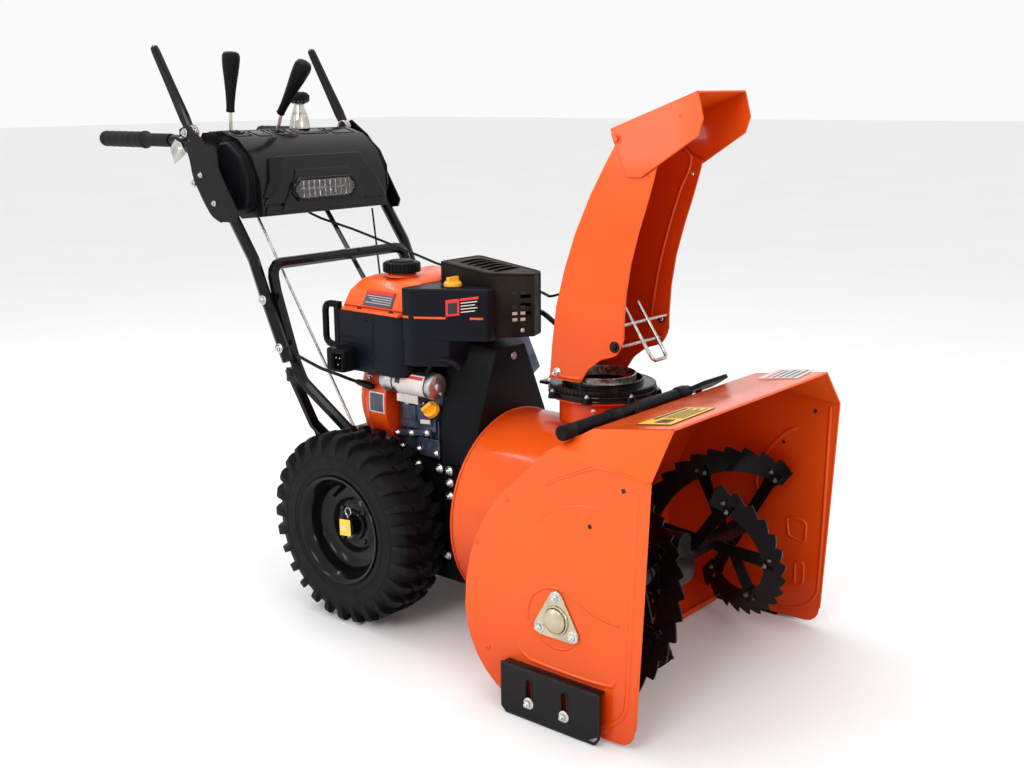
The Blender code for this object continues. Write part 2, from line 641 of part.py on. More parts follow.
# ------------------------------------------------------------------ wheels
def tyre(side, name, carrier):
    """A fat snow tyre, hollow, seated on the rim's two lips."""
    half = TYRE_WIDTH / 2
    centre = side * (TYRE_OUTER_X - half)
    outer = [(0.1140, half - 0.004), (0.145, half), (0.184, half - 0.001), (WHEEL_RADIUS, half - 0.018),
             (WHEEL_RADIUS, 0.018 - half), (0.184, 0.001 - half), (0.145, -half), (0.1140, 0.004 - half)]
    inner = [(0.1140, 0.014 - half), (0.184, 0.014 - half), (0.184, half - 0.014), (0.1140, half - 0.014)]
    obj = turned(outer + inner, (centre, rear(WHEEL_REAR), WHEEL_RADIUS), (1, 0, 0), 40)
    piece(obj, name, "tyre_rubber", carrier)


def rim(side, name, carrier):
    """A deep dished steel rim with a hub tube that slides on the axle."""
    half = TYRE_WIDTH / 2
    centre = side * (TYRE_OUTER_X - half)
    face = half - 0.001
    profile = [(0.1135, face), (0.1060, face - 0.006), (0.1060, 0.006 - face), (0.1135, -face), (0.1020, -face),
               (0.1020, 0.005), (0.060, -0.005), (0.024, -0.005), (0.024, -0.040), (0.0108, -0.040), (0.0108, 0.034),
               (0.020, 0.034), (0.020, 0.004), (0.062, 0.004), (0.1020, 0.014), (0.1020, face)]
    obj = turned(profile, (centre, rear(WHEEL_REAR), WHEEL_RADIUS), (side, 0, 0), 30)
    piece(obj, name, "black_paint", carrier)


def axle(carrier):
    end = TYRE_OUTER_X - TYRE_WIDTH / 2 + 0.030
    place = (rear(WHEEL_REAR), WHEEL_RADIUS)
    piece(rod((-end, *place), (end, *place), 0.0100, 20), "axle", "cast_alloy", carrier)


# ------------------------------------------------------------------ chassis and engine
def chassis_frame():
    """A pressed steel box, open below and at the front, that carries the engine, axle and handles."""
    half, wall = CHASSIS_HALF, 0.004
    front, back = rear(DRUM_REAR + GAP), rear(0.820)
    box = block((-half, front, 0.100), (half, back, CHASSIS_TOP))
    inside = block((-half + wall, front - 0.01, 0.05), (half - wall, back - wall, CHASSIS_TOP - wall))
    belt_gate = block((-half + 0.012, front - 0.01, CHASSIS_TOP - 0.02), (half - 0.012, rear(0.436), CHASSIS_TOP + 0.02))
    place = (rear(WHEEL_REAR), WHEEL_RADIUS)
    axle_hole = rod((-0.2, *place), (0.2, *place), 0.0108, 20)
    piece(cut(box, inside, belt_gate, axle_hole), "chassis_frame", "black_paint")


def belt_cover():
    """A tapered shroud, wide over the impeller pulley and narrow over the engine pulley, open behind and below."""
    base = CHASSIS_TOP + GAP
    front = [(-0.115, base), (-0.112, 0.425), (-0.052, 0.580), (0.036, 0.580), (0.104, 0.425), (0.107, base)]
    back = [(-0.127, base), (-0.127, 0.450), (-0.095, 0.598), (0.078, 0.598), (0.124, 0.450), (0.124, base)]
    outer = loft([[(x, rear(0.3720), z) for x, z in front], [(x, rear(0.4580), z) for x, z in back]])
    shrink = [0.97 * x for x, _ in front], [0.97 * x for x, _ in back]
    heights = [0.30, 0.424, 0.576, 0.576, 0.424, 0.30], [0.30, 0.449, 0.594, 0.594, 0.449, 0.30]
    inner = loft([[(x, rear(y), z) for x, z in zip(shrink[i], heights[i])] for i, y in ((0, 0.3755), (1, 0.4700))])
    piece(cut(outer, inner), "belt_cover", "black_plastic")


def engine_block():
    """Crankcase, finned cylinder leaning to the left, and the muffler ahead of it on its pipe."""
    case = block((-0.112, rear(0.462), CHASSIS_TOP + GAP), (0.090, rear(0.583), 0.520))
    bevel(case, 0.008)
    lean = Matrix.Translation((0.02, rear(0.523), 0.455)) @ Matrix.Rotation(math.radians(62), 4, "Y")
    barrel = block((-0.040, -0.040, 0.02), (0.040, 0.040, 0.165))
    fins = [block((-0.052, -0.052, z), (0.052, 0.052, z + 0.005)) for z in (0.070, 0.086, 0.102, 0.118, 0.134)]
    head = block((-0.056, -0.056, 0.150), (0.056, 0.056, 0.180))
    for part in (barrel, *fins, head):
        part.data.transform(lean)
    pipe = tube(rounded([(0.045, rear(0.530), 0.490), (0.045, rear(0.530), 0.545), (0.030, rear(0.479), 0.583),
                         (0.014, rear(0.472), 0.650)], 0.014, 2), 0.0105, 1)
    muffler = block((-0.052, rear(0.376), 0.628), (0.030, rear(0.482), 0.716))
    bevel(muffler, 0.014)
    filler = rod((-0.100, rear(0.474), 0.433), (-0.134, rear(0.474), 0.455), 0.014, 14)
    join(case, barrel, *fins, head, pipe, muffler, filler)
    bore = rod((0, rear(0.44), CRANK_Z), (0, rear(0.584), CRANK_Z), 0.0125, 20)
    piece(cut(case, bore), "engine_block", "cast_alloy")


def crankshaft(carrier):
    shaft = rod((0, rear(0.382), CRANK_Z), (0, rear(0.580), CRANK_Z), 0.0115, 20)
    pulley = turned(pulley_profile(0.036, 0.018), (0, rear(0.400), CRANK_Z), (0, 1, 0), 20)
    piece(join(shaft, pulley), "crankshaft", "cast_alloy", carrier)


FAN_X = -0.010
FAN_RADIUS = 0.148


def fan_housing():
    """The round recoil and fan cover at the back of the engine."""
    profile = [(0.0, 0.110), (0.040, 0.110), (0.048, 0.104), (0.098, 0.104), (0.126, 0.096), (0.142, 0.076),
               (FAN_RADIUS, 0.050), (FAN_RADIUS, 0.000), (0.0, 0.000)]
    dish = turned(profile, (FAN_X, rear(0.586), CRANK_Z), (0, 1, 0), 30)
    foot = block((-0.085, rear(0.588), CHASSIS_TOP + GAP), (0.075, rear(0.620), 0.400))
    trim = block((-0.2, rear(0.55), 0.2), (0.2, rear(0.70), CHASSIS_TOP + GAP))
    piece(cut(join(dish, foot), trim), "fan_housing", "orange_plastic")


def engine_cover():
    """The black shroud round the carburettor and engine top, open below, with a hump that holds the choke knob."""
    right, left, front, back = -0.190, 0.100, rear(0.500), rear(0.690)
    bottom, deck, hump = 0.526, 0.650, 0.708
    corner = 0.030
    plan = [*arc((right + corner, front + corner), corner, 180, 270, 4), *arc((left - corner, front + corner), corner,
            270, 360, 4), *arc((left - 0.012, back - 0.012), 0.012, 0, 90, 2),
            *arc((right + 0.012, back - 0.012), 0.012, 90, 180, 2)]
    body = plate(plan, "Z", bottom, deck)
    cowl = plate([(-0.183, rear(0.5065)), (-0.183, rear(0.4980)), (-0.098, rear(0.345)), (-0.0765, rear(0.352)),
                  (-0.0765, rear(0.4990)), (0.096, rear(0.4990)), (0.096, rear(0.5065))], "Z", 0.606, hump + 0.002)
    skirt = plate([(-0.1822, rear(0.503)), (-0.1822, rear(0.4985)), (-0.1380, rear(0.4190)),
                   (-0.1345, rear(0.4205)), (-0.1780, rear(0.4990)), (-0.1780, rear(0.503))], "Z", 0.552, 0.612)
    join(body, cowl, skirt)
    wall = 0.0035
    middle = ((right + left) / 2, (front + back) / 2)
    shrink_x, shrink_y = 1 - 2 * wall / (left - right), 1 - 2 * wall / (back - front)
    inner_plan = [(middle[0] + (x - middle[0]) * shrink_x, middle[1] + (y - middle[1]) * shrink_y) for x, y in plan]
    inside = plate(inner_plan, "Z", bottom - 0.03, deck - wall)
    cowl_room = plate([(-0.1755, rear(0.4960)), (-0.1755, rear(0.493)), (-0.0955, rear(0.3495)),
                       (-0.0795, rear(0.355)), (-0.0795, rear(0.4960))], "Z", 0.58, hump - 0.002)
    starter_arch = rod((-0.150, front - 0.03, 0.512), (-0.150, front + 0.03, 0.512), 0.033, 20)
    fan_arch = rod((FAN_X, rear(0.575), CRANK_Z), (FAN_X, rear(0.72), CRANK_Z), FAN_RADIUS + 0.003, 34)
    cylinder_gap = block((0.020, rear(0.455), 0.500), (0.120, rear(0.585), 0.597))
    piece(cut(body, inside, cowl_room, starter_arch, fan_arch, cylinder_gap), "engine_cover", "black_plastic")


def fuel_tank():
    """A moulded tank with a sloping right side, on a thin flange."""
    front, back, deck = rear(0.5070), rear(0.700), 0.650 + GAP
    flange = plate([(-0.192, front), (0.102, front), (0.102, back), (-0.150, back), (-0.192, back - 0.030)], "Z",
                   deck, deck + 0.006)
    levels = ((deck + 0.003, -0.176, 0.092, 0.690), (0.686, -0.160, 0.088, 0.684), (0.708, -0.140, 0.078, 0.668),
              (0.716, -0.112, 0.060, 0.650))
    sections = [[(low, front + 0.0005, z), (high, front + 0.0005, z), (high, rear(end), z), (low, rear(end), z)]
                for z, low, high, end in levels]
    tank = bevel(loft(sections), 0.006)
    neck = rod((-0.095, rear(0.590), 0.70), (-0.095, rear(0.590), 0.7300), 0.024, 24)
    piece(join(tank, flange, neck), "fuel_tank", "orange_plastic")


def fuel_cap(carrier):
    profile = [(0.0, 0.0165), (0.033, 0.0165), (0.037, 0.0135), (0.037, -0.0050), (0.0245, -0.0050), (0.0245, 0.0003),
               (0.0, 0.0003)]
    piece(turned(profile, (-0.095, rear(0.590), 0.7300), (0, 0, 1), 28), "fuel_cap", "black_plastic", carrier)


CHOKE = (-0.113, 0.432, 0.710)        # x, distance behind the auger, and the cowl's top


def choke_knob(carrier):
    place = (CHOKE[0], rear(CHOKE[1]), CHOKE[2] + GAP)
    dial = turned([(0.0, 0.010), (0.0155, 0.010), (0.0180, 0.007), (0.0180, 0.0), (0.0, 0.0)], place, (0, 0, 1), 18)
    wing = block((place[0] - 0.0140, place[1] - 0.0040, place[2] + 0.004), (place[0] + 0.0140, place[1] + 0.0040,
                 place[2] + 0.019))
    piece(join(dial, wing), "choke_knob", "yellow_plastic", carrier)


def muffler_guard():
    """A sheet box over the muffler, with louvres in its top and vents in its front."""
    outside = [(-0.075, 0.372), (0.000, 0.318), (0.036, 0.330), (0.044, 0.4985), (-0.075, 0.4985)]
    inside = [(-0.073, 0.3732), (-0.0003, 0.3205), (0.0341, 0.3320), (0.0420, 0.4965), (-0.073, 0.4965)]

    def shell(plan, low, drop):
        top = [(x, rear(y), 0.730 + 0.111 * (y - 0.309) - drop) for x, y in plan]
        return loft([[(x, y, low) for x, y, _ in top], top])

    cuts = [shell(inside, 0.55, 0.002)]
    for row in range(6):
        y = rear(0.372 + 0.018 * row)
        cuts.append(block((-0.052, y, 0.728), (0.026, y + 0.006, 0.76)))
    for row in range(3):
        z = 0.650 + 0.017 * row
        cuts.append(block((-0.022, rear(0.300), z), (-0.004, rear(0.3400), z + 0.007)))
    piece(cut(shell(outside, 0.606, 0.0), *cuts), "muffler_guard", "black_paint")


def starter_motor():
    """The electric starter along the crankcase's right side."""
    y, z, x = rear(0.445), 0.5115, -0.150
    profile = [(0.0, 0.140), (0.0235, 0.140), (0.0262, 0.132), (0.0262, 0.006), (0.0240, 0.0), (0.0, 0.0)]
    motor = turned(profile, (x, y, z), (0, 1, 0), 20)
    lug = block((x, rear(0.500), z - 0.045), (-0.1125, rear(0.560), z + 0.004))
    piece(join(motor, lug), "starter_motor", "cast_alloy")


def starter_box():
    """The mains inlet box of the starter, with its socket open to the right and room for the push button."""
    low, high = (-0.228, rear(0.632), 0.528), (-0.1905, rear(0.684), 0.575)
    box = bevel(block(low, high), 0.003)
    socket = block((-0.240, rear(0.638), 0.534), (-0.206, rear(0.662), 0.566))
    well = rod((-0.2095, rear(0.668), 0.552), (-0.2095, rear(0.71), 0.552), 0.0080, 16)
    pins = [block((-0.222, rear(y) - 0.001, 0.540), (-0.2050, rear(y) + 0.001, 0.546)) for y in (0.645, 0.656)]
    earth = block((-0.222, rear(0.6505) - 0.001, 0.553), (-0.2050, rear(0.6505) + 0.001, 0.559))
    piece(join(cut(box, socket, well), *pins, earth), "starter_box", "black_plastic")


def starter_button(carrier):
    button = rod((-0.2095, rear(0.6715), 0.552), (-0.2095, rear(0.6880), 0.552), 0.0072, 16)
    piece(button, "starter_button", "yellow_plastic", carrier)


def oil_cap(carrier):
    along = Vector((-0.034, 0.0, 0.022)).normalized()
    base = Vector((-0.134, rear(0.474), 0.455)) + along * GAP
    body = rod(base, base + along * 0.010, 0.017, 16)
    wing = block((-0.0125, -0.004, 0.008), (0.0125, 0.004, 0.024))
    turn = along.to_track_quat("Z", "Y").to_matrix().to_4x4()
    wing.data.transform(Matrix.Translation(base) @ turn @ Matrix.Rotation(math.radians(50), 4, "Z"))
    piece(join(body, wing), "oil_cap", "yellow_plastic", carrier)


def recoil_grip(carrier):
    """The loop handle of the recoil starter, behind the engine's right corner."""
    x = -0.178
    top, bottom = 0.657, 0.571
    loop = rounded([(x, rear(0.6990), top), (x, rear(0.7360), top), (x, rear(0.7360), bottom),
                    (x, rear(0.6990), bottom)], 0.016, 3)
    bar = as_mesh(tube(loop, 0.0075, 1))
    stem = block((x - 0.006, rear(0.6910), bottom - 0.006), (x + 0.006, rear(0.7040), top + 0.006))
    piece(join(bar, stem), "recoil_grip", "black_plastic", carrier)


# ------------------------------------------------------------------ handles and dash
def side_path(points, x):
    return [(x, rear(y), z) for y, z in points]


def lower_handle():
    """The U-shaped bar, its two rear struts and the flat links between them, welded into one frame."""
    leg = [(0.878, 0.728), (0.866, 0.670), (0.815, 0.526), (0.792, 0.484)]
    foot_z = CHASSIS_TOP + GAP
    paths = [side_path(leg, side * UBAR_HALF) + [(side * 0.112, rear(0.6945), 0.330)] for side in (RIGHT, LEFT)]
    bar = as_mesh(tube(rounded([*reversed(paths[0]), *paths[1]], 0.040, 3), TUBE_RADIUS))
    extras = []
    for side in (RIGHT, LEFT):
        strut = rounded([(side * UBAR_HALF, rear(0.832), 0.505), (side * 0.150, rear(0.820), 0.376),
                         (side * 0.115, rear(0.804), 0.330)], 0.020, 2)
        extras.append(tube(strut, TUBE_RADIUS))
        extras.append(block((side * UBAR_HALF - 0.003, rear(0.795), 0.478), (side * UBAR_HALF + 0.003, rear(0.842), 0.508)))
        for y, z in SPACERS:
            inner, outer = side * (UBAR_HALF + 0.004), side * (HANDLE_HALF - TUBE_RADIUS - 0.0004)
            extras.append(block((min(inner, outer), rear(y) - 0.009, z - 0.012), (max(inner, outer), rear(y) + 0.009,
                                z + 0.012)))
    trim = block((-0.15, rear(0.62), 0.25), (0.15, rear(0.86), foot_z))
    piece(cut(join(bar, *extras), trim), "lower_handle", "black_paint")


SPACERS = ((0.8260, 0.5600), (0.8600, 0.6570))     # where the handle tubes are bolted outside the U-bar's legs


def upper_handle(side, name):
    """One handle tube, from its links past the dash to the grip."""
    line = [(0.806, 0.530), (0.820, 0.560), (0.866, 0.657), (0.902, 0.740), (0.958, 0.818), (1.045, 0.940)]
    points = side_path(line, side * HANDLE_HALF)
    points += [(side * GRIP_HALF, rear(1.125), 0.985), (side * GRIP_HALF, rear(1.405), 0.985)]
    bar = as_mesh(tube(rounded(points, 0.045, 2), TUBE_RADIUS))
    bolts = [rod((side * (HANDLE_HALF + 0.004), rear(y), z), (side * (HANDLE_HALF + 0.0165), rear(y), z), 0.0065, 6)
             for y, z in ((0.820, 0.560), (0.866, 0.657))]
    piece(join(bar, *bolts), name, "black_paint")


def grip(side, name):
    """A moulded hand grip with ribs, closed at its end."""
    profile = [(0.0, 0.2600), (0.012, 0.2600), (0.0175, 0.2540), (0.0175, 0.2440), (0.0160, 0.2400), (0.0160, 0.0130),
               (0.0190, 0.0090), (0.0190, 0.0), (0.0129, 0.0), (0.0129, 0.2480), (0.0, 0.2480)]
    obj = turned(profile, (side * GRIP_HALF, rear(1.160), 0.985), (0, 1, 0), 20)
    piece(obj, name, "grip_rubber")


DASH_HALF = 0.186
LEVER_SLOT_REAR = 1.050


def dash_plate(side, name):
    """The steel cheek that holds the dash between the handle tubes and carries a clutch lever."""
    outline = [(0.950, 0.815), (1.026, 0.905), (1.042, 0.948), (1.070, 0.984), (1.113, 0.996), (1.112, 1.010),
               (1.084, 1.020), (1.030, 0.986), (1.000, 0.953), (0.976, 0.915), (0.925, 0.834), (0.932, 0.817)]
    low, high = side * 0.2400, side * 0.2436
    plate_piece = plate([(rear(y), z) for y, z in outline], "X", min(low, high), max(low, high))
    pin = rod((side * 0.2150, rear(CLUTCH_PIVOT[0]), CLUTCH_PIVOT[1]), (side * 0.2420, rear(CLUTCH_PIVOT[0]),
              CLUTCH_PIVOT[1]), 0.0050, 12)
    piece(join(plate_piece, pin), name, "black_paint")


CLUTCH_PIVOT = (1.092, 1.003)


def dash_panel():
    """The moulded housing of the controls, open behind and below, with slots for its two levers."""
    outer = [(0.913, 0.826), (0.916, 0.900), (0.940, 0.952), (0.985, 0.990), (1.035, 1.004), (1.108, 1.001),
             (1.120, 0.985), (1.070, 0.905), (1.020, 0.838), (0.985, 0.818)]
    inner = [(0.9168, 0.8295), (0.9195, 0.899), (0.943, 0.9495), (0.9865, 0.9868), (1.0355, 1.0008),
             (1.1065, 0.9978), (1.150, 0.985), (1.150, 0.8222), (0.983, 0.8222)]
    shell = plate([(rear(y), z) for y, z in outer], "X", -DASH_HALF, DASH_HALF)
    room = plate([(rear(y), z) for y, z in inner], "X", 0.0035 - DASH_HALF, DASH_HALF - 0.0035)
    slots = [block((x - 0.0075, rear(LEVER_SLOT_REAR - 0.032), 0.96), (x + 0.0075, rear(LEVER_SLOT_REAR + 0.032), 1.02))
             for x in (SPEED_LEVER_X, DEFLECTOR_LEVER_X)]
    crank_hole = rod((CRANK_X, rear(LEVER_SLOT_REAR), 0.96), (CRANK_X, rear(LEVER_SLOT_REAR), 1.03), 0.0075, 16)
    rod_slot = block((0.040, rear(0.965), 0.80), (0.080, rear(1.030), 0.850))
    shift_slot = block((-0.168, rear(0.940), 0.80), (-0.142, rear(1.020), 0.845))
    barrels = [rod((side * 0.1840, rear(0.9915), 0.866), (side * 0.2138, rear(0.9915), 0.866), 0.0165, 20)
               for side in (RIGHT, LEFT)]
    piece(join(cut(shell, room, *slots, crank_hole, rod_slot, shift_slot), *barrels), "dash_panel", "black_plastic")


SPEED_LEVER_X = -0.155
DEFLECTOR_LEVER_X = -0.040
CRANK_X = 0.046
LEVER_PIVOT_Z = 0.952


def headlight():
    """A long eight-sided lamp on the front of the dash."""
    half, low, high, corner = 0.0855, 0.855, 0.896, 0.014
    outline = [(-half, low + corner), (-half + corner, low), (half - corner, low), (half, low + corner),
               (half, high - corner), (half - corner, high), (-half + corner, high), (-half, high - corner)]
    outline = [(x - 0.011, z) for x, z in outline]
    lamp = plate(outline, "Y", rear(0.9015), rear(0.9135))
    trim = plate([(rear(0.9127), 0.80), (rear(0.9157), 0.8999), (rear(0.94), 0.95), (rear(0.94), 0.80)], "X", -0.12, 0.12)
    piece(cut(lamp, trim), "headlight", "lamp_lens")


def hand_lever(name, carrier, x, knob_points, finish):
    """A rod lever on a cross hub under the dash, with a moulded knob drawn along its axis."""
    base = (x, rear(LEVER_SLOT_REAR), LEVER_PIVOT_Z)
    hub = rod((x - 0.012, *base[1:]), (x + 0.012, *base[1:]), 0.008, 16)
    foot, neck, top = [Vector(point) for point in knob_points]
    stem = rod(base, foot + (neck - foot) * 0.2, 0.0038, 12)
    along = (top - foot).normalized()
    length = (top - foot).length
    profile = [(0.0, length), (0.010, length - 0.002), (0.0155, length - 0.012), (0.0165, length * 0.72),
               (0.0115, length * 0.35), (0.0095, 0.010), (0.0105, 0.0), (0.0, 0.0)]
    knob = turned(profile, foot, along, 16)
    piece(join(hub, stem, knob), name, finish, carrier)


def speed_lever(carrier):
    x = SPEED_LEVER_X
    points = ((x, rear(1.045), 1.045), (x, rear(1.040), 1.09), (x, rear(1.031), 1.174))
    hand_lever("speed_lever", carrier, x, points, "black_plastic")


def deflector_lever(carrier):
    x = DEFLECTOR_LEVER_X
    points = ((x, rear(1.015), 1.040), (x, rear(0.985), 1.08), (x, rear(0.924), 1.150))
    hand_lever("deflector_lever", carrier, x, points, "black_plastic")


def chute_crank(carrier):
    """The knob that turns the chute, on a bright tapered boss."""
    profile = [(0.0, 1.086), (0.016, 1.085), (0.0235, 1.078), (0.0235, 1.066), (0.010, 1.058), (0.010, 1.050),
               (0.019, 1.034), (0.0225, 1.010), (0.0225, 1.0045), (0.0065, 1.0045), (0.0065, 0.940), (0.0, 0.940)]
    obj = turned(profile, (CRANK_X, rear(LEVER_SLOT_REAR), 0.0), (0, 0, 1), 16)
    piece(obj, "chute_crank", "zinc", carrier)


def clutch_lever(side, name, carrier):
    """A long sprung lever that stands up over its grip."""
    x = side * LEVER_X
    y, z = CLUTCH_PIVOT
    hub = rod((x - 0.0105, rear(y), z), (x + 0.0105, rear(y), z), 0.0125, 16)
    bore = rod((x - 0.02, rear(y), z), (x + 0.02, rear(y), z), 0.0055, 12)
    arm = loft([[(x + side * half_x, rear(y + along - 0.85 * half_w), z + 1.6 * along + 0.53 * half_w)
                 for half_x, half_w in ((-0.008, -width), (0.008, -width), (0.008, width), (-0.008, width))]
                for along, width in ((0.0, 0.010), (0.020, 0.013), (0.060, 0.011), (0.108, 0.0095), (0.116, 0.007))])
    piece(cut(join(hub, bevel(arm, 0.004)), bore), name, "grip_rubber", carrier)


# ------------------------------------------------------------------ rods and cables
def shift_rod(carrier):
    piece(tube([(-0.155, rear(0.970), 0.821), (-0.1392, rear(0.698), 0.376)], 0.0032), "shift_rod", "zinc", carrier)


def chute_control_rod():
    """The two-part shaft from the dash, down past the tank and forward to the ring's bracket."""
    points = [(0.0455, rear(1.0545), 0.930), (0.100, rear(0.843), 0.576), (0.126, rear(0.760), 0.606),
              (0.126, rear(0.400), 0.632), (0.1865, rear(0.305), 0.533), (0.1865, rear(0.2625), 0.533)]
    piece(tube(rounded(points, 0.030, 3), 0.0055, 1), "chute_control_rod", "black_paint")


DEFLECTOR_CABLE = [(0.010, 1.010, 0.860), (0.020, 1.000, 0.815), (0.060, 0.900, 0.780), (0.096, 0.822, 0.749),
                   (0.106, 0.740, 0.727), (0.110, 0.661, 0.708), (0.110, 0.560, 0.699), (0.104, 0.470, 0.690),
                   (0.088, 0.380, 0.682), (0.072, 0.335, 0.676)]


def cable(name, route, radius, steps=3):
    """A cable held at both ends, as a smooth curve through its route of (x, distance behind the auger, z)."""
    points = smooth([(x, rear(y), z) for x, y, z in route], steps)
    piece(tube(points, radius, 1), name, "cable_jacket")


def clutch_cable(side, name):
    """From the lever's cheek down behind the handle to the chassis."""
    if side == LEFT:
        route = [(0.1780, 0.956, 0.8160), (0.1720, 0.940, 0.740), (0.1620, 0.920, 0.660)]
    else:
        route = [(-0.1780, 1.040, 0.885), (-0.1770, 1.010, 0.815), (-0.1740, 0.950, 0.690)]
    route += [(side * 0.1560, 0.900, 0.560), (side * 0.1460, 0.872, 0.450), (side * 0.1360, 0.845, 0.370),
              (side * 0.1310, 0.8270, 0.330)]
    cable(name, route, 0.0024, 3)


STARTER_LEAD = [(-0.2180, 0.806, 0.562), (-0.2190, 0.790, 0.547), (-0.2180, 0.770, 0.540), (-0.2120, 0.745, 0.530),
                (-0.2050, 0.722, 0.521), (-0.1900, 0.688, 0.510), (-0.1760, 0.665, 0.500), (-0.1620, 0.640, 0.492)]


# ------------------------------------------------------------------ assembly
def build_fixed():
    bucket_wrap()
    for side, word in ((RIGHT, "right"), (LEFT, "left")):
        side_plate(side, "side_plate_" + word)
        skid_shoe(side, "skid_shoe_" + word)
        auger_bearing(side, "auger_bearing_" + word)
        upper_handle(side, "upper_handle_" + word)
        grip(side, "grip_" + word)
        dash_plate(side, "dash_plate_" + word)
        clutch_cable(side, "clutch_cable_" + word)
    for make in (impeller_drum, outlet_neck, gearbox_housing, chute_base_ring, chassis_frame, belt_cover, engine_block,
                 fan_housing, engine_cover, fuel_tank, muffler_guard, starter_motor, starter_box, lower_handle,
                 dash_panel, headlight, chute_control_rod):
        make()
    cable("deflector_cable", DEFLECTOR_CABLE, 0.0030)
    cable("starter_lead", STARTER_LEAD, 0.0035)


def build_moving():
    augers = pivot("auger_axis", (0, AUGER_Y, AUGER_Z))
    auger_shaft(augers)
    auger(RIGHT, "auger_right", augers)
    auger(LEFT, "auger_left", augers)
    impeller_axis = pivot("impeller_axis", (0, rear(0.30), IMPELLER_Z))
    impeller(impeller_axis)
    impeller_shaft(impeller_axis)
    crankshaft(pivot("crank_axis", (0, rear(0.40), CRANK_Z)))
    wheels = pivot("wheel_axis", (0, rear(WHEEL_REAR), WHEEL_RADIUS))
    axle(wheels)
    for side, word in ((RIGHT, "right"), (LEFT, "left")):
        rim(side, "rim_" + word, wheels)
        tyre(side, "tyre_" + word, wheels)
    chute = pivot("chute_axis", (CHUTE_X, rear(CHUTE_REAR), CHUTE_RING_Z))
    chute_ring(chute)
    chute_body(chute)
    hood = pivot("deflector_axis", (CHUTE_X, rear(DEFLECTOR_PIVOT[0]), DEFLECTOR_PIVOT[1]))
    hood.parent = chute
    hood.matrix_parent_inverse = chute.matrix_world.inverted()
    bpy.context.view_layer.update()
    chute_deflector(hood)
    chute_crank(pivot("crank_knob_axis", (CRANK_X, rear(LEVER_SLOT_REAR), 1.0)))
    speed_lever(pivot("speed_lever_axis", (SPEED_LEVER_X, rear(LEVER_SLOT_REAR), LEVER_PIVOT_Z)))
    deflector_lever(pivot("deflector_lever_axis", (DEFLECTOR_LEVER_X, rear(LEVER_SLOT_REAR), LEVER_PIVOT_Z)))
    for side, word in ((RIGHT, "right"), (LEFT, "left")):
        place = (side * LEVER_X, rear(CLUTCH_PIVOT[0]), CLUTCH_PIVOT[1])
        clutch_lever(side, "clutch_lever_" + word, pivot("clutch_axis_" + word, place))
    shift_rod(pivot("shift_rod_slide", (-0.155, rear(0.970), 0.821)))
    fuel_cap(pivot("fuel_cap_axis", (-0.095, rear(0.590), 0.73)))
    oil_cap(pivot("oil_cap_axis", (-0.134, rear(0.474), 0.455)))
    choke_knob(pivot("choke_axis", (CHOKE[0], rear(CHOKE[1]), CHOKE[2])))
    starter_button(pivot("button_slide", (-0.2095, rear(0.6715), 0.552)))
    recoil_grip(pivot("recoil_slide", (-0.178, rear(0.70), 0.614)))
    clean_out_tool(pivot("tool_slide", (-0.10, rear(0.0), 0.5415)))


clear_scene()
PARTS = new_collection("two_stage_snowblower")
CUTTERS = new_collection("cutters")
build_fixed()
build_moving()
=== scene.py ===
"""Looks of the two stage snowblower: materials, detail pieces, camera and light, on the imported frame."""
import json
import math

import bmesh
import bpy
from mathutils import Matrix, Vector

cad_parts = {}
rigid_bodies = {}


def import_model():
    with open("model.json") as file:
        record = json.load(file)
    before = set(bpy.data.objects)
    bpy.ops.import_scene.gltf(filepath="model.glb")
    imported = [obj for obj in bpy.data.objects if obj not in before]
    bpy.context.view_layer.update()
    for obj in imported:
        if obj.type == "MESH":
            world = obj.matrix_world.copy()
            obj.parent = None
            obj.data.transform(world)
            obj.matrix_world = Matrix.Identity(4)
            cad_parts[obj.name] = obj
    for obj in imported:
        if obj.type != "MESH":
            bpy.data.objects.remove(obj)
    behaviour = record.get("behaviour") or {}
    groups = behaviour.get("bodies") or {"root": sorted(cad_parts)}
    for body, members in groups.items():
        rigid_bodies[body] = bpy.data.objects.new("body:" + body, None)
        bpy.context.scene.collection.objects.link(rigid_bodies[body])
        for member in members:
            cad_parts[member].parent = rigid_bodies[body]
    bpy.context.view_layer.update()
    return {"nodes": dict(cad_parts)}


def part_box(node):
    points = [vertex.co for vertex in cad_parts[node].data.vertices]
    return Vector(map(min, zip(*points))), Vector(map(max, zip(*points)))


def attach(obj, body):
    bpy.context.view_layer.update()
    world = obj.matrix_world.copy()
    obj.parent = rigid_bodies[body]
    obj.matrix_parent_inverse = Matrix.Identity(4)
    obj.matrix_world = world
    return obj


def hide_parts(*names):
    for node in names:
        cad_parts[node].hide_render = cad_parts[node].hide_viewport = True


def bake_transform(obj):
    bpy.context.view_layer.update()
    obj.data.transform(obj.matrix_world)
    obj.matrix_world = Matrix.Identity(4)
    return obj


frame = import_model()
NODES = frame["nodes"]
RIGHT, LEFT = -1, 1
SIDES = ((RIGHT, "right"), (LEFT, "left"))
UP, BACK, FRONT = (0, 0, 1), (0, 1, 0), (0, -1, 0)
SHAFT_Y, SHAFT_Z = -0.6165, 0.197          # the auger shaft, which lengths along the machine start from


def rear(distance):
    """World y of a point this far behind the auger shaft."""
    return SHAFT_Y + distance


def at(x, behind, z):
    """A point from its x, its distance behind the auger shaft and its height."""
    return Vector((x, rear(behind), z))


def at_x(x, points):
    """Points (distance behind the shaft, height) at one x."""
    return [at(x, behind, z) for behind, z in points]


# ------------------------------------------------------------------ camera, light and floor
CAMERA_PLACE = (-1.947, -1.8725, 1.085)
CAMERA_TURN = (39.98, 12.97, -0.51)        # yaw, pitch down and roll, in degrees
SENSOR, LENS = 36, 44.73


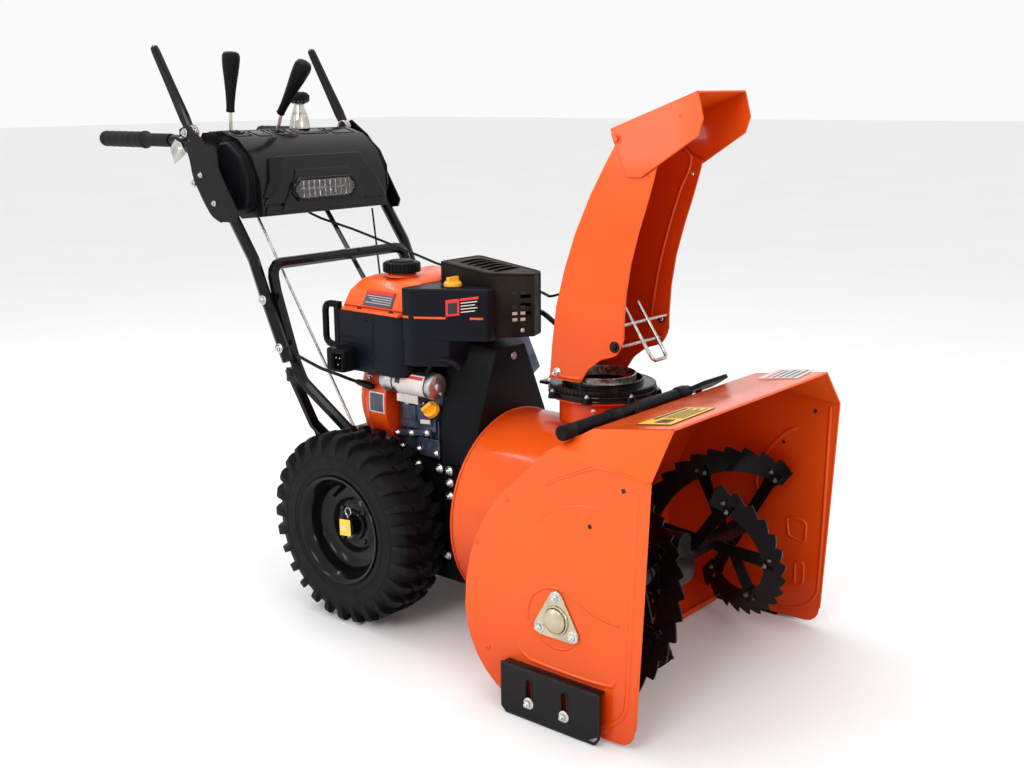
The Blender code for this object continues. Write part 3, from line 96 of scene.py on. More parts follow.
def make_camera():
    """Stands the camera where the machine shows from its front right, a little above."""
    yaw, pitch, roll = (math.radians(turn) for turn in CAMERA_TURN)
    ahead = Vector((math.cos(yaw) * math.cos(pitch), math.sin(yaw) * math.cos(pitch), -math.sin(pitch)))
    side = Vector((math.sin(yaw), -math.cos(yaw), 0))
    up = side.cross(ahead)
    right = math.cos(roll) * side + math.sin(roll) * up
    top = math.cos(roll) * up - math.sin(roll) * side
    data = bpy.data.cameras.new("camera")
    data.sensor_width, data.lens = SENSOR, LENS
    camera = bpy.data.objects.new("camera", data)
    bpy.context.scene.collection.objects.link(camera)
    camera.matrix_world = Matrix.Translation(CAMERA_PLACE) @ Matrix((right, top, -ahead)).transposed().to_4x4()
    bpy.context.scene.camera = camera


def lamp(name, place, target, size, power, colour=(1, 1, 1)):
    """A soft rectangular light aimed at a point."""
    data = bpy.data.lights.new(name, "AREA")
    data.shape, data.size, data.size_y = "RECTANGLE", size[0], size[1]
    data.energy, data.color = power, colour
    obj = bpy.data.objects.new(name, data)
    bpy.context.scene.collection.objects.link(obj)
    obj.location = place
    obj.rotation_euler = (Vector(target) - Vector(place)).to_track_quat("-Z", "Y").to_euler()


def make_light():
    world = bpy.data.worlds.new("studio")
    bpy.context.scene.world = world
    world.use_nodes = True
    sky = world.node_tree.nodes["Background"]
    sky.inputs["Color"].default_value = (1, 1, 1, 1)
    sky.inputs["Strength"].default_value = 0.96
    lamp("key", (-3.6, -1.2, 3.2), (0, -0.1, 0.5), (1.6, 1.6), 62)
    lamp("front", (-1.2, -4.0, 2.0), (0, -0.3, 0.5), (1.2, 0.9), 22)
    lamp("top", (0.4, 0.2, 3.8), (0, 0, 0.5), (1.8, 1.8), 30)
    lamp("strip", (-3.2, 1.6, 1.6), (0, 0.2, 0.7), (0.35, 1.8), 16, (0.8, 0.88, 1.0))
    lamp("back", (-0.1, 1.85, 3.1), (-0.1, -0.3, 0.4), (1.4, 0.22), 16)


def make_floor():
    mesh = bmesh.new()
    bmesh.ops.create_grid(mesh, x_segments=8, y_segments=8, size=40)
    data = bpy.data.meshes.new("floor")
    mesh.to_mesh(data)
    mesh.free()
    floor = bpy.data.objects.new("floor", data)
    floor.location = (0, 0, -0.0005)
    bpy.context.scene.collection.objects.link(floor)
    data.materials.append(MATERIALS["floor"])


# ------------------------------------------------------------------ materials
MATERIALS = {}


class Graph:
    """A short way to write a material's nodes."""

    def __init__(self, name):
        self.material = bpy.data.materials.new(name)
        self.material.use_nodes = True
        self.tree = self.material.node_tree
        self.shader = self.tree.nodes["Principled BSDF"]
        self.place = self.add("ShaderNodeTexCoord").outputs["Object"]
        MATERIALS[name] = self.material

    def add(self, kind, **inputs):
        node = self.tree.nodes.new(kind)
        for key, value in inputs.items():
            self.feed(node.inputs[key.replace("_", " ")], value)
        return node

    def feed(self, socket, value):
        if isinstance(value, bpy.types.NodeSocket):
            self.tree.links.new(value, socket)
        else:
            socket.default_value = value

    def set(self, **inputs):
        for key, value in inputs.items():
            self.feed(self.shader.inputs[key.replace("_", " ")], value)

    def noise(self, scale, detail=3.0, roughness=0.55, stretch=None):
        where = self.place
        if stretch:
            mapping = self.add("ShaderNodeMapping", Vector=self.place, Scale=stretch)
            where = mapping.outputs["Vector"]
        return self.add("ShaderNodeTexNoise", Vector=where, Scale=scale, Detail=detail, Roughness=roughness).outputs[0]

    def spread(self, value, low, high, start=0.3, end=0.7):
        """value from start to end becomes low to high."""
        node = self.add("ShaderNodeMapRange", Value=value)
        for key, number in (("From Min", start), ("From Max", end), ("To Min", low), ("To Max", high)):
            node.inputs[key].default_value = number
        return node.outputs["Result"]

    def mix(self, share, first, second):
        node = self.tree.nodes.new("ShaderNodeMix")
        node.data_type = "RGBA"
        self.feed(node.inputs["Factor"], share)
        self.feed(node.inputs[6], first)
        self.feed(node.inputs[7], second)
        return node.outputs[2]

    def math(self, operation, first, second=0.0):
        node = self.tree.nodes.new("ShaderNodeMath")
        node.operation = operation
        self.feed(node.inputs[0], first)
        self.feed(node.inputs[1], second)
        return node.outputs[0]

    def soft_edge(self, radius):
        node = self.tree.nodes.new("ShaderNodeBevel")
        node.samples = 4
        node.inputs["Radius"].default_value = radius
        return node.outputs["Normal"]

    def bump(self, height, strength, distance=0.001, normal=None):
        node = self.add("ShaderNodeBump", Height=height, Strength=strength, Distance=distance)
        if normal is not None:
            self.feed(node.inputs["Normal"], normal)
        return node.outputs["Normal"]

    def wear(self, radius):
        """1 on edges and 0 on flats, broken up by noise."""
        bevel = self.soft_edge(radius)
        geometry = self.add("ShaderNodeNewGeometry")
        node = self.tree.nodes.new("ShaderNodeVectorMath")
        node.operation = "DOT_PRODUCT"
        self.feed(node.inputs[0], bevel)
        self.feed(node.inputs[1], geometry.outputs["Normal"])
        edge = self.spread(node.outputs["Value"], 1.0, 0.0, 0.9, 0.995)
        return self.math("MULTIPLY", edge, self.spread(self.noise(60, 5), 0.0, 1.0, 0.5, 0.62))


def rgb(red, green, blue):
    """A colour given as eyes read it, 0 to 255, in the renderer's linear units."""
    return tuple(((c / 255 + 0.055) / 1.055) ** 2.4 if c > 10 else c / 3294.6 for c in (red, green, blue)) + (1.0,)


def coated(name, light, dark, rough=(0.28, 0.36), coat=0.35, peel=0.1, radius=0.0014, scale=7, grain=420, worn=None,
           metal=0.0, painted_shade=None, shine=0.5):
    """Paint or moulded plastic: slow colour drift, uneven gloss, fine texture, rounded edges and painted shade in
    recesses.
    """
    g = Graph(name)
    colour = g.mix(g.spread(g.noise(scale, 4), 0, 1), rgb(*dark), rgb(*light))
    # painted shade: ambient occlusion darkens the colour towards the given shade colour in recesses, corners and
    # insides
    if painted_shade:
        shade = g.add("ShaderNodeAmbientOcclusion", Distance=0.42)
        shade.samples = 6
        colour = g.mix(g.spread(shade.outputs["AO"], 0.0, 1.0, 0.28, 0.86), rgb(*painted_shade), colour)
    if worn:
        colour = g.mix(g.wear(radius), colour, rgb(*worn))
    g.set(Base_Color=colour, Metallic=metal, Roughness=g.spread(g.noise(scale * 5, 3), rough[0], rough[1]),
          Coat_Weight=coat, Coat_Roughness=0.08, Specular_IOR_Level=shine)
    edge = g.soft_edge(radius)
    g.set(Normal=g.bump(g.noise(grain, 2), peel, 0.0006, edge))
    return g


def metal(name, light, dark, rough=(0.22, 0.42), scale=25, brushed=None, radius=0.0008, bump=0.12, grain=300):
    """Bare metal with a drifting tone, uneven gloss and fine grain."""
    g = Graph(name)
    streak = g.noise(scale, 4, 0.6, brushed)
    g.set(Base_Color=g.mix(g.spread(streak, 0, 1), rgb(*dark), rgb(*light)), Metallic=1.0,
          Roughness=g.spread(g.noise(scale * 2, 4), rough[0], rough[1]))
    g.set(Normal=g.bump(g.noise(grain, 3), bump, 0.0005, g.soft_edge(radius)))
    return g


def make_materials():
    # painted shade: orange paint and orange plastic darken towards a deeper red orange in their recesses
    coated("orange_paint", (230, 92, 28), (226, 87, 24), (0.16, 0.26), 0.16, 0.06, 0.0016, 3, 500, painted_shade=(188, 46, 3),
           shine=0.18)
    coated("orange_plastic", (240, 96, 34), (232, 88, 28), (0.24, 0.32), 0.1, 0.1, 0.003, 6, 700, painted_shade=(176, 44, 4),
           shine=0.22)
    coated("black_gloss", (15, 15, 16), (9, 9, 10), (0.15, 0.24), 0.2, 0.06, 0.0012, 9, 500, worn=(50, 48, 46),
           shine=0.1)
    coated("black_plastic", (17, 17, 20), (11, 11, 13), (0.32, 0.42), 0.0, 0.3, 0.003, 11, 900, shine=0.09)
    coated("cover_plastic", (19, 21, 30), (13, 14, 20), (0.3, 0.4), 0.0, 0.3, 0.003, 9, 900, shine=0.1)
    coated("dash_plastic", (20, 19, 18), (12, 12, 11), (0.18, 0.3), 0.2, 0.18, 0.0022, 10, 800, shine=0.16)
    # painted shade: the guard paint darkens to near black in its recesses
    coated("guard_paint", (50, 46, 38), (26, 23, 20), (0.4, 0.52), 0.0, 0.35, 0.0045, 16, 600, painted_shade=(8, 5, 4),
           shine=0.09)
    coated("auger_paint", (14, 12, 11), (7, 6, 6), (0.24, 0.4), 0.12, 0.25, 0.001, 14, 380, worn=(74, 68, 62),
           shine=0.12)
    coated("grip_foam", (28, 27, 28), (19, 18, 19), (0.55, 0.68), 0.0, 0.7, 0.002, 30, 1500, shine=0.14)
    coated("cable_jacket", (16, 16, 17), (10, 10, 11), (0.36, 0.46), 0.0, 0.2, 0.0004, 30, 900, shine=0.14)
    coated("yellow_plastic", (250, 178, 30), (238, 160, 18), (0.3, 0.4), 0.2, 0.12, 0.0016, 14, 700)
    for name, light, dark in (
            ("label_yellow", (240, 196, 50), (228, 182, 40)),
            ("label_white", (214, 204, 198), (196, 188, 182)),
            ("label_red", (214, 34, 30), (196, 26, 24)),
            ("label_slate", (66, 70, 86), (48, 52, 66)),
            ("label_black", (22, 22, 22), (16, 16, 16))):
        coated(name, light, dark, (0.34, 0.42), 0.1, 0.05, 0.0001, 14, 700)
    # painted shade: near-black sheets laid on surfaces where holes, slots and vents are, in place of real openings
    coated("dark_hole", (12, 12, 12), (8, 8, 8), (0.6, 0.7), 0.0, 0.05, 0.0002, 14, 700)
    metal("zinc", (222, 222, 218), (176, 176, 172), (0.18, 0.34), 40)
    metal("bearing_zinc", (206, 197, 166), (168, 158, 134), (0.22, 0.38), 22)
    metal("bright_wire", (214, 208, 200), (168, 160, 152), (0.2, 0.34), 60)
    metal("cast_alloy", (206, 204, 202), (160, 160, 160), (0.32, 0.5), 30, bump=0.35, grain=240)
    metal("motor_steel", (214, 206, 200), (176, 168, 164), (0.24, 0.36), 18, (1, 14, 1))
    metal("engine_grey", (112, 120, 140), (62, 66, 80), (0.4, 0.58), 20, bump=0.5, grain=170)
    metal("worn_steel", (150, 146, 142), (96, 92, 88), (0.3, 0.5), 26)

    g = coated("tyre_rubber", (22, 22, 23), (15, 15, 16), (0.46, 0.62), 0.0, 0.5, 0.0016, 12, 650, shine=0.1)
    dust = g.spread(g.noise(34, 6, 0.7), 0.0, 0.35, 0.52, 0.8)
    g.set(Base_Color=g.mix(dust, g.mix(g.spread(g.noise(12, 4), 0, 1), rgb(14, 14, 15), rgb(22, 22, 23)),
                           rgb(38, 36, 35)))

    g = Graph("lamp_reflector")
    cells = g.add("ShaderNodeTexVoronoi", Vector=g.place, Scale=170.0)
    g.set(Base_Color=g.mix(g.spread(cells.outputs["Distance"], 0, 1, 0.1, 0.6), rgb(236, 228, 220), rgb(150, 138, 130)),
          Metallic=0.75, Roughness=0.16)
    g.set(Normal=g.bump(cells.outputs["Distance"], 0.8, 0.002))
    g = Graph("lamp_lens")
    ribs = g.add("ShaderNodeTexWave", Vector=g.place, Scale=60.0)
    g.set(Base_Color=(0.97, 0.97, 0.97, 1), Roughness=0.06, IOR=1.45, Transmission_Weight=1.0)
    g.set(Normal=g.bump(ribs.outputs["Fac"], 0.15, 0.0006))
    g = Graph("led_yellow")
    dots = g.noise(300, 2)
    g.set(Base_Color=g.mix(dots, rgb(240, 222, 150), rgb(210, 190, 120)), Roughness=0.3)

    g = Graph("floor")
    g.set(Base_Color=g.mix(g.spread(g.noise(1.2, 3), 0, 1), (0.86, 0.86, 0.86, 1), (0.88, 0.88, 0.88, 1)),
          Roughness=0.75)


# ------------------------------------------------------------------ mesh tools
def free_piece(name, mesh, material, sharp=35):
    """Turns a bmesh into a smooth-shaded object that rides on nothing yet."""
    bmesh.ops.remove_doubles(mesh, verts=mesh.verts, dist=1e-6)
    bmesh.ops.recalc_face_normals(mesh, faces=mesh.faces)
    data = bpy.data.meshes.new(name)
    mesh.to_mesh(data)
    mesh.free()
    data.shade_smooth()
    data.set_sharp_from_angle(angle=math.radians(sharp))
    obj = bpy.data.objects.new(name, data)
    bpy.context.scene.collection.objects.link(obj)
    data.materials.append(MATERIALS[material])
    return obj


def new_piece(name, mesh, material, body, sharp=35):
    """A piece that rides on a body."""
    obj = free_piece(name, mesh, material, sharp)
    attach(obj, body)
    return obj


def round_edges(obj, width, segments=3, angle=30):
    """Bevels the edges sharper than an angle."""
    bevel = obj.modifiers.new("edges", "BEVEL")
    bevel.width, bevel.segments = width, segments
    bevel.limit_method, bevel.angle_limit = "ANGLE", math.radians(angle)
    bevel.use_clamp_overlap = True
    bevel.harden_normals = True
    return obj


CORNERS = ((-1, -1), (1, -1), (1, 1), (-1, 1))
AXES = {"X": (Vector((0, 1, 0)), Vector((0, 0, 1)), Vector((1, 0, 0))), "Y": (Vector((1, 0, 0)), Vector((0, 0, 1)),
        Vector((0, 1, 0))), "Z": (Vector((1, 0, 0)), Vector((0, 1, 0)), Vector((0, 0, 1)))}


def spoke(plane, length, angle):
    """A step in the plane square to an axis, at an angle in radians."""
    first, second, _ = AXES[plane]
    return (first * math.cos(angle) + second * math.sin(angle)) * length


def circle(centre, radius, plane, count):
    """Points round a circle square to an axis."""
    return [centre + spoke(plane, radius, 2 * math.pi * k / count) for k in range(count)]


def join_rings(mesh, rings):
    """Adds the faces between each ring of vertices and the next."""
    for lower, upper in zip(rings, rings[1:]):
        for k in range(len(lower)):
            n = (k + 1) % len(lower)
            mesh.faces.new((lower[k], lower[n], upper[n], upper[k]))


def direction(points, i, closed):
    """Which way a line runs at one of its points."""
    before = points[i - 1] if i or closed else points[i]
    after = points[(i + 1) % len(points)] if i + 1 < len(points) or closed else points[i]
    return (after - before).normalized()


def cut_corners(points, near):
    """A closed outline through the middle of each side and near its ends, so a smooth bar can turn there."""
    return [p.lerp(q, t) for p, q in zip(points, points[1:] + points[:1]) for t in (near, 0.5, 1 - near)]


def prism(mesh, outline, axis, low, high):
    """Adds an extruded outline. For X the outline is (y, z), for Y (x, z), for Z (x, y)."""
    first, second, along = AXES[axis]
    rings = [[mesh.verts.new(first * p[0] + second * p[1] + along * level) for p in outline] for level in (low, high)]
    for ring in rings:
        mesh.faces.new(ring)
    join_rings(mesh, rings)


def frame_of(axis):
    """Two directions square to an axis, and the axis, each of length one."""
    axis = Vector(axis).normalized()
    side = axis.orthogonal().normalized()
    return side, axis.cross(side), axis


def lathe(mesh, profile, place, axis, steps=32):
    """Adds a turned solid; profile is (radius, distance along the axis), closed through the axis."""
    side, up, along = frame_of(axis)
    place = Vector(place)
    rings = []
    for radius, level in profile:
        if radius < 1e-6:
            rings.append([mesh.verts.new(place + along * level)])
        else:
            rings.append([mesh.verts.new(place + along * level + (side * math.cos(a) + up * math.sin(a)) * radius)
                          for a in (2 * math.pi * k / steps for k in range(steps))])
    for lower, upper in zip(rings, rings[1:]):
        for k in range(steps):
            n = (k + 1) % steps
            if len(lower) == 1 and len(upper) == 1:
                continue
            if len(lower) == 1:
                mesh.faces.new((lower[0], upper[k], upper[n]))
            elif len(upper) == 1:
                mesh.faces.new((lower[k], lower[n], upper[0]))
            else:
                mesh.faces.new((lower[k], lower[n], upper[n], upper[k]))


def disc(mesh, radius, low, high, place, axis, steps):
    """Adds a plain turned disc or pin."""
    lathe(mesh, [(0.0, low), (radius, low), (radius, high), (0.0, high)], place, axis, steps)


def loft(mesh, sections, caps=True):
    """Adds a skin over sections that have the same number of points."""
    rings = [[mesh.verts.new(Vector(p)) for p in section] for section in sections]
    join_rings(mesh, rings)
    if caps:
        mesh.faces.new(rings[0])
        mesh.faces.new(rings[-1])


def sweep(mesh, points, radius, sides=10, closed=False):
    """Adds a round bar along a line of points."""
    points = [Vector(p) for p in points]
    normal = None
    rings = []
    for i, point in enumerate(points):
        along = direction(points, i, closed)
        if normal is None:
            normal = along.orthogonal().normalized()
        normal = (normal - along * normal.dot(along)).normalized()
        other = along.cross(normal)
        rings.append([mesh.verts.new(point + (normal * math.cos(a) + other * math.sin(a)) * radius)
                      for a in (2 * math.pi * k / sides for k in range(sides))])
    join_rings(mesh, rings + rings[:1] if closed else rings)
    if not closed:
        mesh.faces.new(rings[0])
        mesh.faces.new(rings[-1])


def ring_bar(mesh, centre, radius, plane, count, size, sides=8):
    """Adds a round bar bent into a circle."""
    sweep(mesh, circle(centre, radius, plane, count), size, sides, closed=True)


def turned_band(mesh, profile, place, side, steps):
    """Adds a band turned round an axle; profile is (radius, distance outward) and ends where it starts."""
    rings = [[mesh.verts.new(p) for p in circle(place + Vector((side * level, 0, 0)), radius, "X", steps)]
             for radius, level in profile]
    join_rings(mesh, rings + rings[:1])


def curve_through(points, steps=6, closed=False):
    """A smooth line through the points."""
    points = [Vector(p) for p in points]
    count = len(points)
    out = []
    for i in range(count if closed else count - 1):
        p1, p2 = points[i], points[(i + 1) % count]
        p0 = points[i - 1] if i or closed else p1 * 2 - p2
        p3 = points[(i + 2) % count] if i + 2 < count or closed else p2 * 2 - p1
        for k in range(steps):
            t = k / steps
            square, cube = 2 * p0 - 5 * p1 + 4 * p2 - p3, 3 * p1 - p0 - 3 * p2 + p3
            out.append(0.5 * (2 * p1 + (p2 - p0) * t + square * t * t + cube * t ** 3))
    if not closed:
        out.append(points[-1])
    return out


def arc(centre, radius, start, end, steps):
    """Flat points on an arc, with its ends in degrees."""
    return [(centre[0] + radius * math.cos(math.radians(start + (end - start) * k / steps)),
             centre[1] + radius * math.sin(math.radians(start + (end - start) * k / steps))) for k in range(steps + 1)]


BEAD_SHAPE = ((-0.5, -0.3), (-0.42, 0.05), (-0.22, 0.75), (0.0, 1.0), (0.22, 0.75), (0.42, 0.05), (0.5, -0.3))


def bead(mesh, points, normal, width, height, closed=False):
    """Adds a low rounded rib pressed up from a flat sheet, along points that lie on it."""
    points = [Vector(p) for p in points]
    normal = Vector(normal).normalized()
    count = len(points)
    sections = []
    for i, point in enumerate(points):
        across = direction(points, i, closed).cross(normal)
        taper = 1.0 if closed else min(1.0, 0.25 + min(i, count - 1 - i) * 0.35)
        sections.append([point + across * width * a + normal * height * (b * taper if b > 0 else b)
                         for a, b in BEAD_SHAPE])
    if closed:
        sections.append(sections[0])
    loft(mesh, sections, caps=not closed)


POOLS = {}


def pool(body, material):
    """Small parts of one material on one body are gathered into one piece."""
    if (body, material) not in POOLS:
        POOLS[body, material] = bmesh.new()
    return POOLS[body, material]


def hex_bolt(body, place, axis, across=0.013, head=0.0055, washer=True, shank=0.004, material="zinc"):
    """A flanged hexagon head with its washer and the thread's end; across, head and shank are its sizes."""
    mesh = pool(body, material)
    side, up, along = frame_of(axis)
    place = Vector(place)
    base = 0.0
    if washer:
        lathe(mesh, [(0.0, -0.0004), (across * 0.86, -0.0004), (across * 0.86, 0.0009), (across * 0.8, 0.0014),
                     (0.0, 0.0014)], place, along, 20)
        base = 0.0014
    corner = across / math.sqrt(3)
    for level, top, grow in ((base, base + head * 0.82, 1.0), (base + head * 0.82, base + head, 0.86)):
        loft(mesh, [[place + along * height + (side * math.cos(a) + up * math.sin(a)) * corner * size
                     for a in (math.pi * k / 3 for k in range(6))] for height, size in ((level, 1.0), (top, grow))])
    if shank:
        lathe(mesh, [(0.0, 0.0), (across * 0.3, 0.0), (across * 0.3, base + head + shank * 0.8),
                     (across * 0.24, base + head + shank), (0.0, base + head + shank)], place, along, 12)


def dome_screw(body, place, axis, radius=0.006, material="zinc", height=0.003):
    """A low round head with a recess in its middle."""
    lathe(pool(body, material), [(0.0, -0.0004), (radius, -0.0004), (radius, height * 0.3),
            (radius * 0.75, height * 0.8), (radius * 0.35, height), (radius * 0.3, height * 0.45),
            (0.0, height * 0.45)], place, axis, 16)


def patch(body, material, corners, lift=0.0004, thick=0.0004):
    """A blank sticker laid on four points that run round a surface."""
    corners = [Vector(c) for c in corners]
    normal = (corners[1] - corners[0]).cross(corners[3] - corners[0]).normalized()
    mesh = pool(body, material)
    loft(mesh, [[c + normal * lift for c in corners], [c + normal * (lift + thick) for c in corners]])


def stripe(body, material, corners, low, high, left=0.0, right=1.0, lift=0.0009):
    """A band across a sticker, from share low to high of its height."""
    a, b, c, d = [Vector(p) for p in corners]

    def spot(u, v):
        return (a * (1 - u) + b * u) * (1 - v) + (d * (1 - u) + c * u) * v
    patch(body, material, [spot(left, low), spot(right, low), spot(right, high), spot(left, high)], lift)


# ------------------------------------------------------------------ bucket
PLATE = 0.3345                             # a side plate's outer face, from the middle
SHEET = 0.0018
INSIDE = 0.0026                            # from a sheet's outer face to just inside its inner one
FACET = 0.061                              # how far a side plate's top is folded in
VISOR_BACK, VISOR_RISE = (-0.03, 0.528), 0.1497


def visor_z(behind):
    """Height of the visor's upper face."""
    return VISOR_BACK[1] + (VISOR_BACK[0] - behind) * VISOR_RISE + SHEET


def plate_ribs(side, word):
    """Pressed ribs on one side plate: raised outside, and their own shapes inside."""
    mesh = bmesh.new()
    x, out = side * (PLATE + 0.0001), (side, 0, 0)
    edge = at_x(x, ((-0.163, 0.462), (-0.16, 0.38), (-0.156, 0.28), (-0.152, 0.18), (-0.148, 0.1), (-0.143, 0.068),
                    (-0.126, 0.046), (-0.096, 0.032), (-0.045, 0.028), (0.01, 0.028)))
    bead(mesh, curve_through(edge, 4), out, 0.011, 0.0019)
    top = at_x(x, ((0.05, 0.36), (0.016, 0.392), (-0.031, 0.409), (-0.09, 0.4145)))
    bead(mesh, curve_through(top, 6), out, 0.01, 0.0016)
    middle = at_x(x, ((-0.13, 0.222), (-0.1, 0.224), (-0.077, 0.229), (-0.048, 0.241), (-0.013, 0.2535),
                      (0.022, 0.2515), (0.051, 0.233), (0.064, 0.206), (0.066, 0.18)))
    bead(mesh, curve_through(middle, 5), out, 0.009, 0.002)
    low = at_x(x, ((0.09, 0.128), (0.072, 0.112), (0.05, 0.1055), (-0.043, 0.1035), (-0.1, 0.106), (-0.118, 0.111),
                   (-0.124, 0.124)))
    bead(mesh, curve_through(low, 5), out, 0.009, 0.002)
    bead(mesh, at_x(x, arc((0.002, 0.196), 0.052, 200, 356, 13)), out, 0.007, 0.0012)
    x, inward = side * (PLATE - INSIDE), (-side, 0, 0)
    swage = at_x(x, ((-0.1, 0.418), (-0.072, 0.4006), (-0.04, 0.366), (-0.0215, 0.336), (-0.01, 0.293), (-0.014, 0.268),
                     (-0.031, 0.249)))
    bead(mesh, curve_through(swage, 5), inward, 0.01, 0.0022)
    for corners in (((-0.083, 0.224), (-0.1265, 0.2215), (-0.1265, 0.175), (-0.088, 0.1834)),
                    ((-0.106, 0.129), (-0.1255, 0.131), (-0.1255, 0.085), (-0.106, 0.081))):
        bead(mesh, cut_corners(at_x(x, corners), 0.12), inward, 0.007, 0.0022, closed=True)
    lip = at_x(x, ((-0.168, 0.47), (-0.1655, 0.3), (-0.16, 0.1), (-0.156, 0.07), (-0.136, 0.043), (-0.1, 0.027),
                   (-0.063, 0.024)))
    bead(mesh, curve_through(lip, 5), inward, 0.009, 0.0024)
    new_piece("plate_ribs_" + word, mesh, "orange_paint", "machine", 50)
    # painted shade: dark squares laid on both faces of the plate where its two square holes are
    holes = pool("machine", "dark_hole")
    for y, z in ((-0.136, 0.456), (-0.069, 0.381)):
        for sign in (1, -1):
            face = side * (PLATE + 0.0002) if sign > 0 else side * (PLATE - 0.0027)
            diamond = [at(face, y, z) + spoke("X", 0.0052, 0.35 + math.pi / 2 * k) for k in range(4)]
            loft(holes, [diamond, [p + Vector((side * sign * 0.0003, 0, 0)) for p in diamond]])


def facet_creases(side, word):
    """The folds round the facet pressed into the top of each side plate."""
    mesh = bmesh.new()
    x = side * 0.3352
    fold = [(0.0239, 0.4354), (-0.001, 0.449), (-0.0291, 0.4625), (-0.056, 0.475), (-0.0853, 0.4862), (-0.11, 0.485),
            (-0.1339, 0.4828), (-0.16, 0.4795), (-0.182, 0.476)]
    bead(mesh, at_x(x, fold), (side, 0, 0), 0.005, 0.0013)
    new_piece("facet_crease_" + word, mesh, "orange_paint", "machine", 60)


def hem_edges():
    """The folded front edges of the visor and the side plates."""
    mesh = bmesh.new()
    inner, outer, front = PLATE - FACET, PLATE - 0.0013, -0.1866
    sweep(mesh, [at(x, y, 0.552) for x, y in ((-inner + 0.004, -0.1865), (0, -0.1868), (inner - 0.004, -0.1865))],
          0.0023, 10)
    for side, _ in SIDES:
        sweep(mesh, [at(side * (inner - 0.003), front, 0.5515), at(side * (PLATE - 0.0014), front, 0.48)], 0.0022, 10)
        sweep(mesh, at_x(side * outer, ((front, 0.478), (-0.176, 0.26), (-0.1645, 0.042))), 0.0021, 10)
    new_piece("front_hems", mesh, "orange_paint", "machine", 60)


def on_visor(points):
    """Points (x, distance behind the shaft) set on the visor."""
    return [at(x, behind, visor_z(behind)) for x, behind in points]


def shrink(corners, share):
    """Corners moved in to their middle by a share of the way."""
    middle = sum(corners, Vector()) / len(corners)
    return [p + (middle - p) * share for p in corners]


def bucket_labels():
    """The yellow and white stickers on the visor, with plain bars where lines of text would be."""
    near = on_visor(((-0.237, -0.092), (-0.237, -0.161), (-0.091, -0.157), (-0.089, -0.096)))
    patch("machine", "label_black", near, 0.0003)
    inset = shrink(near, 0.035)
    patch("machine", "label_yellow", inset, 0.0008)
    lines = inset[1:] + inset[:1]
    stripe("machine", "label_black", lines, 0.8, 0.92, 0.26, 0.94, 0.0014)
    for row in range(5):
        low = 0.12 + 0.125 * row
        stripe("machine", "label_black", lines, low, low + 0.04, 0.34, 0.94 - 0.1 * (row % 2), 0.0014)
    stripe("machine", "label_black", lines, 0.2, 0.6, 0.07, 0.26, 0.0014)
    far = shrink(on_visor(((0.195, -0.065), (0.188, -0.172), (0.312, -0.156), (0.322, -0.052))), 0.18)
    patch("machine", "label_white", far, 0.0003)
    far = far[1:] + far[:1]
    for row in range(5):
        low = 0.14 + 0.16 * row
        stripe("machine", "label_red" if row == 4 else "label_slate", far, low, low + 0.05, 0.08,
               0.92 - 0.1 * (row % 2), 0.0009)


def bucket_bolts():
    """Bolts of the auger bearings and skid shoes, and screws of the plates and scraper."""
    for side, _ in SIDES:
        out = (side, 0, 0)
        for angle in (90, 210, 330):
            place = at(side * (PLATE + 0.0033), 0, SHAFT_Z) + spoke("X", 0.042, math.radians(angle))
            hex_bolt("machine", place, out, 0.0125, 0.005)
        mesh = pool("machine", "bearing_zinc")
        lathe(mesh, [(0.0238, 0.0031), (0.0262, 0.0031), (0.027, 0.0045), (0.0262, 0.006), (0.0238, 0.0062)],
              at(side * PLATE, 0, SHAFT_Z), out, 40)
        for y in (0.048, -0.03):
            hex_bolt("machine", at(side * 0.3538, y, 0.033), out, 0.0125, 0.0062, True, 0.004)
        for y, z in ((0.18228, 0.298), (0.1581, 0.102), (0.10974, 0.3911)):
            dome_screw("machine", at(side * (PLATE + 0.0002), y, z), out, 0.0052, "orange_paint", 0.0018)
    for x in (-0.25, -0.09, 0.09, 0.25):
        dome_screw("machine", at(x, 0.0855, 0.013), UP, 0.0075, "worn_steel", 0.003)


def skid_details():
    """Rolled edges of each shoe and the rims of its slots."""
    for side, _ in SIDES:
        mesh = pool("machine", "black_gloss")
        x = side * 0.3525
        for start, end, size in (((-0.104, 0.0945), (0.11, 0.0945), 0.0022), ((-0.104, 0.0945), (-0.1045, 0.022),
                0.0019), ((0.1105, 0.0945), (0.1105, 0.012), 0.0019)):
            sweep(mesh, at_x(x, (start, end)), size, 10)
        foot = ((-0.1045, 0.024), (-0.102, 0.012), (-0.0935, 0.0042), (-0.08, 0.0026), (0.085, 0.0026), (0.099, 0.0042),
                (0.1075, 0.01), (0.1105, 0.02))
        sweep(mesh, curve_through(at_x(x, foot), 4), 0.0024, 10)
        for y in (0.048, -0.03):
            slot = arc((y, 0.072), 0.0078, 0, 180, 8) + arc((y, 0.033), 0.0078, 180, 360, 8)
            sweep(mesh, at_x(side * 0.3541, slot), 0.0011, 8, closed=True)


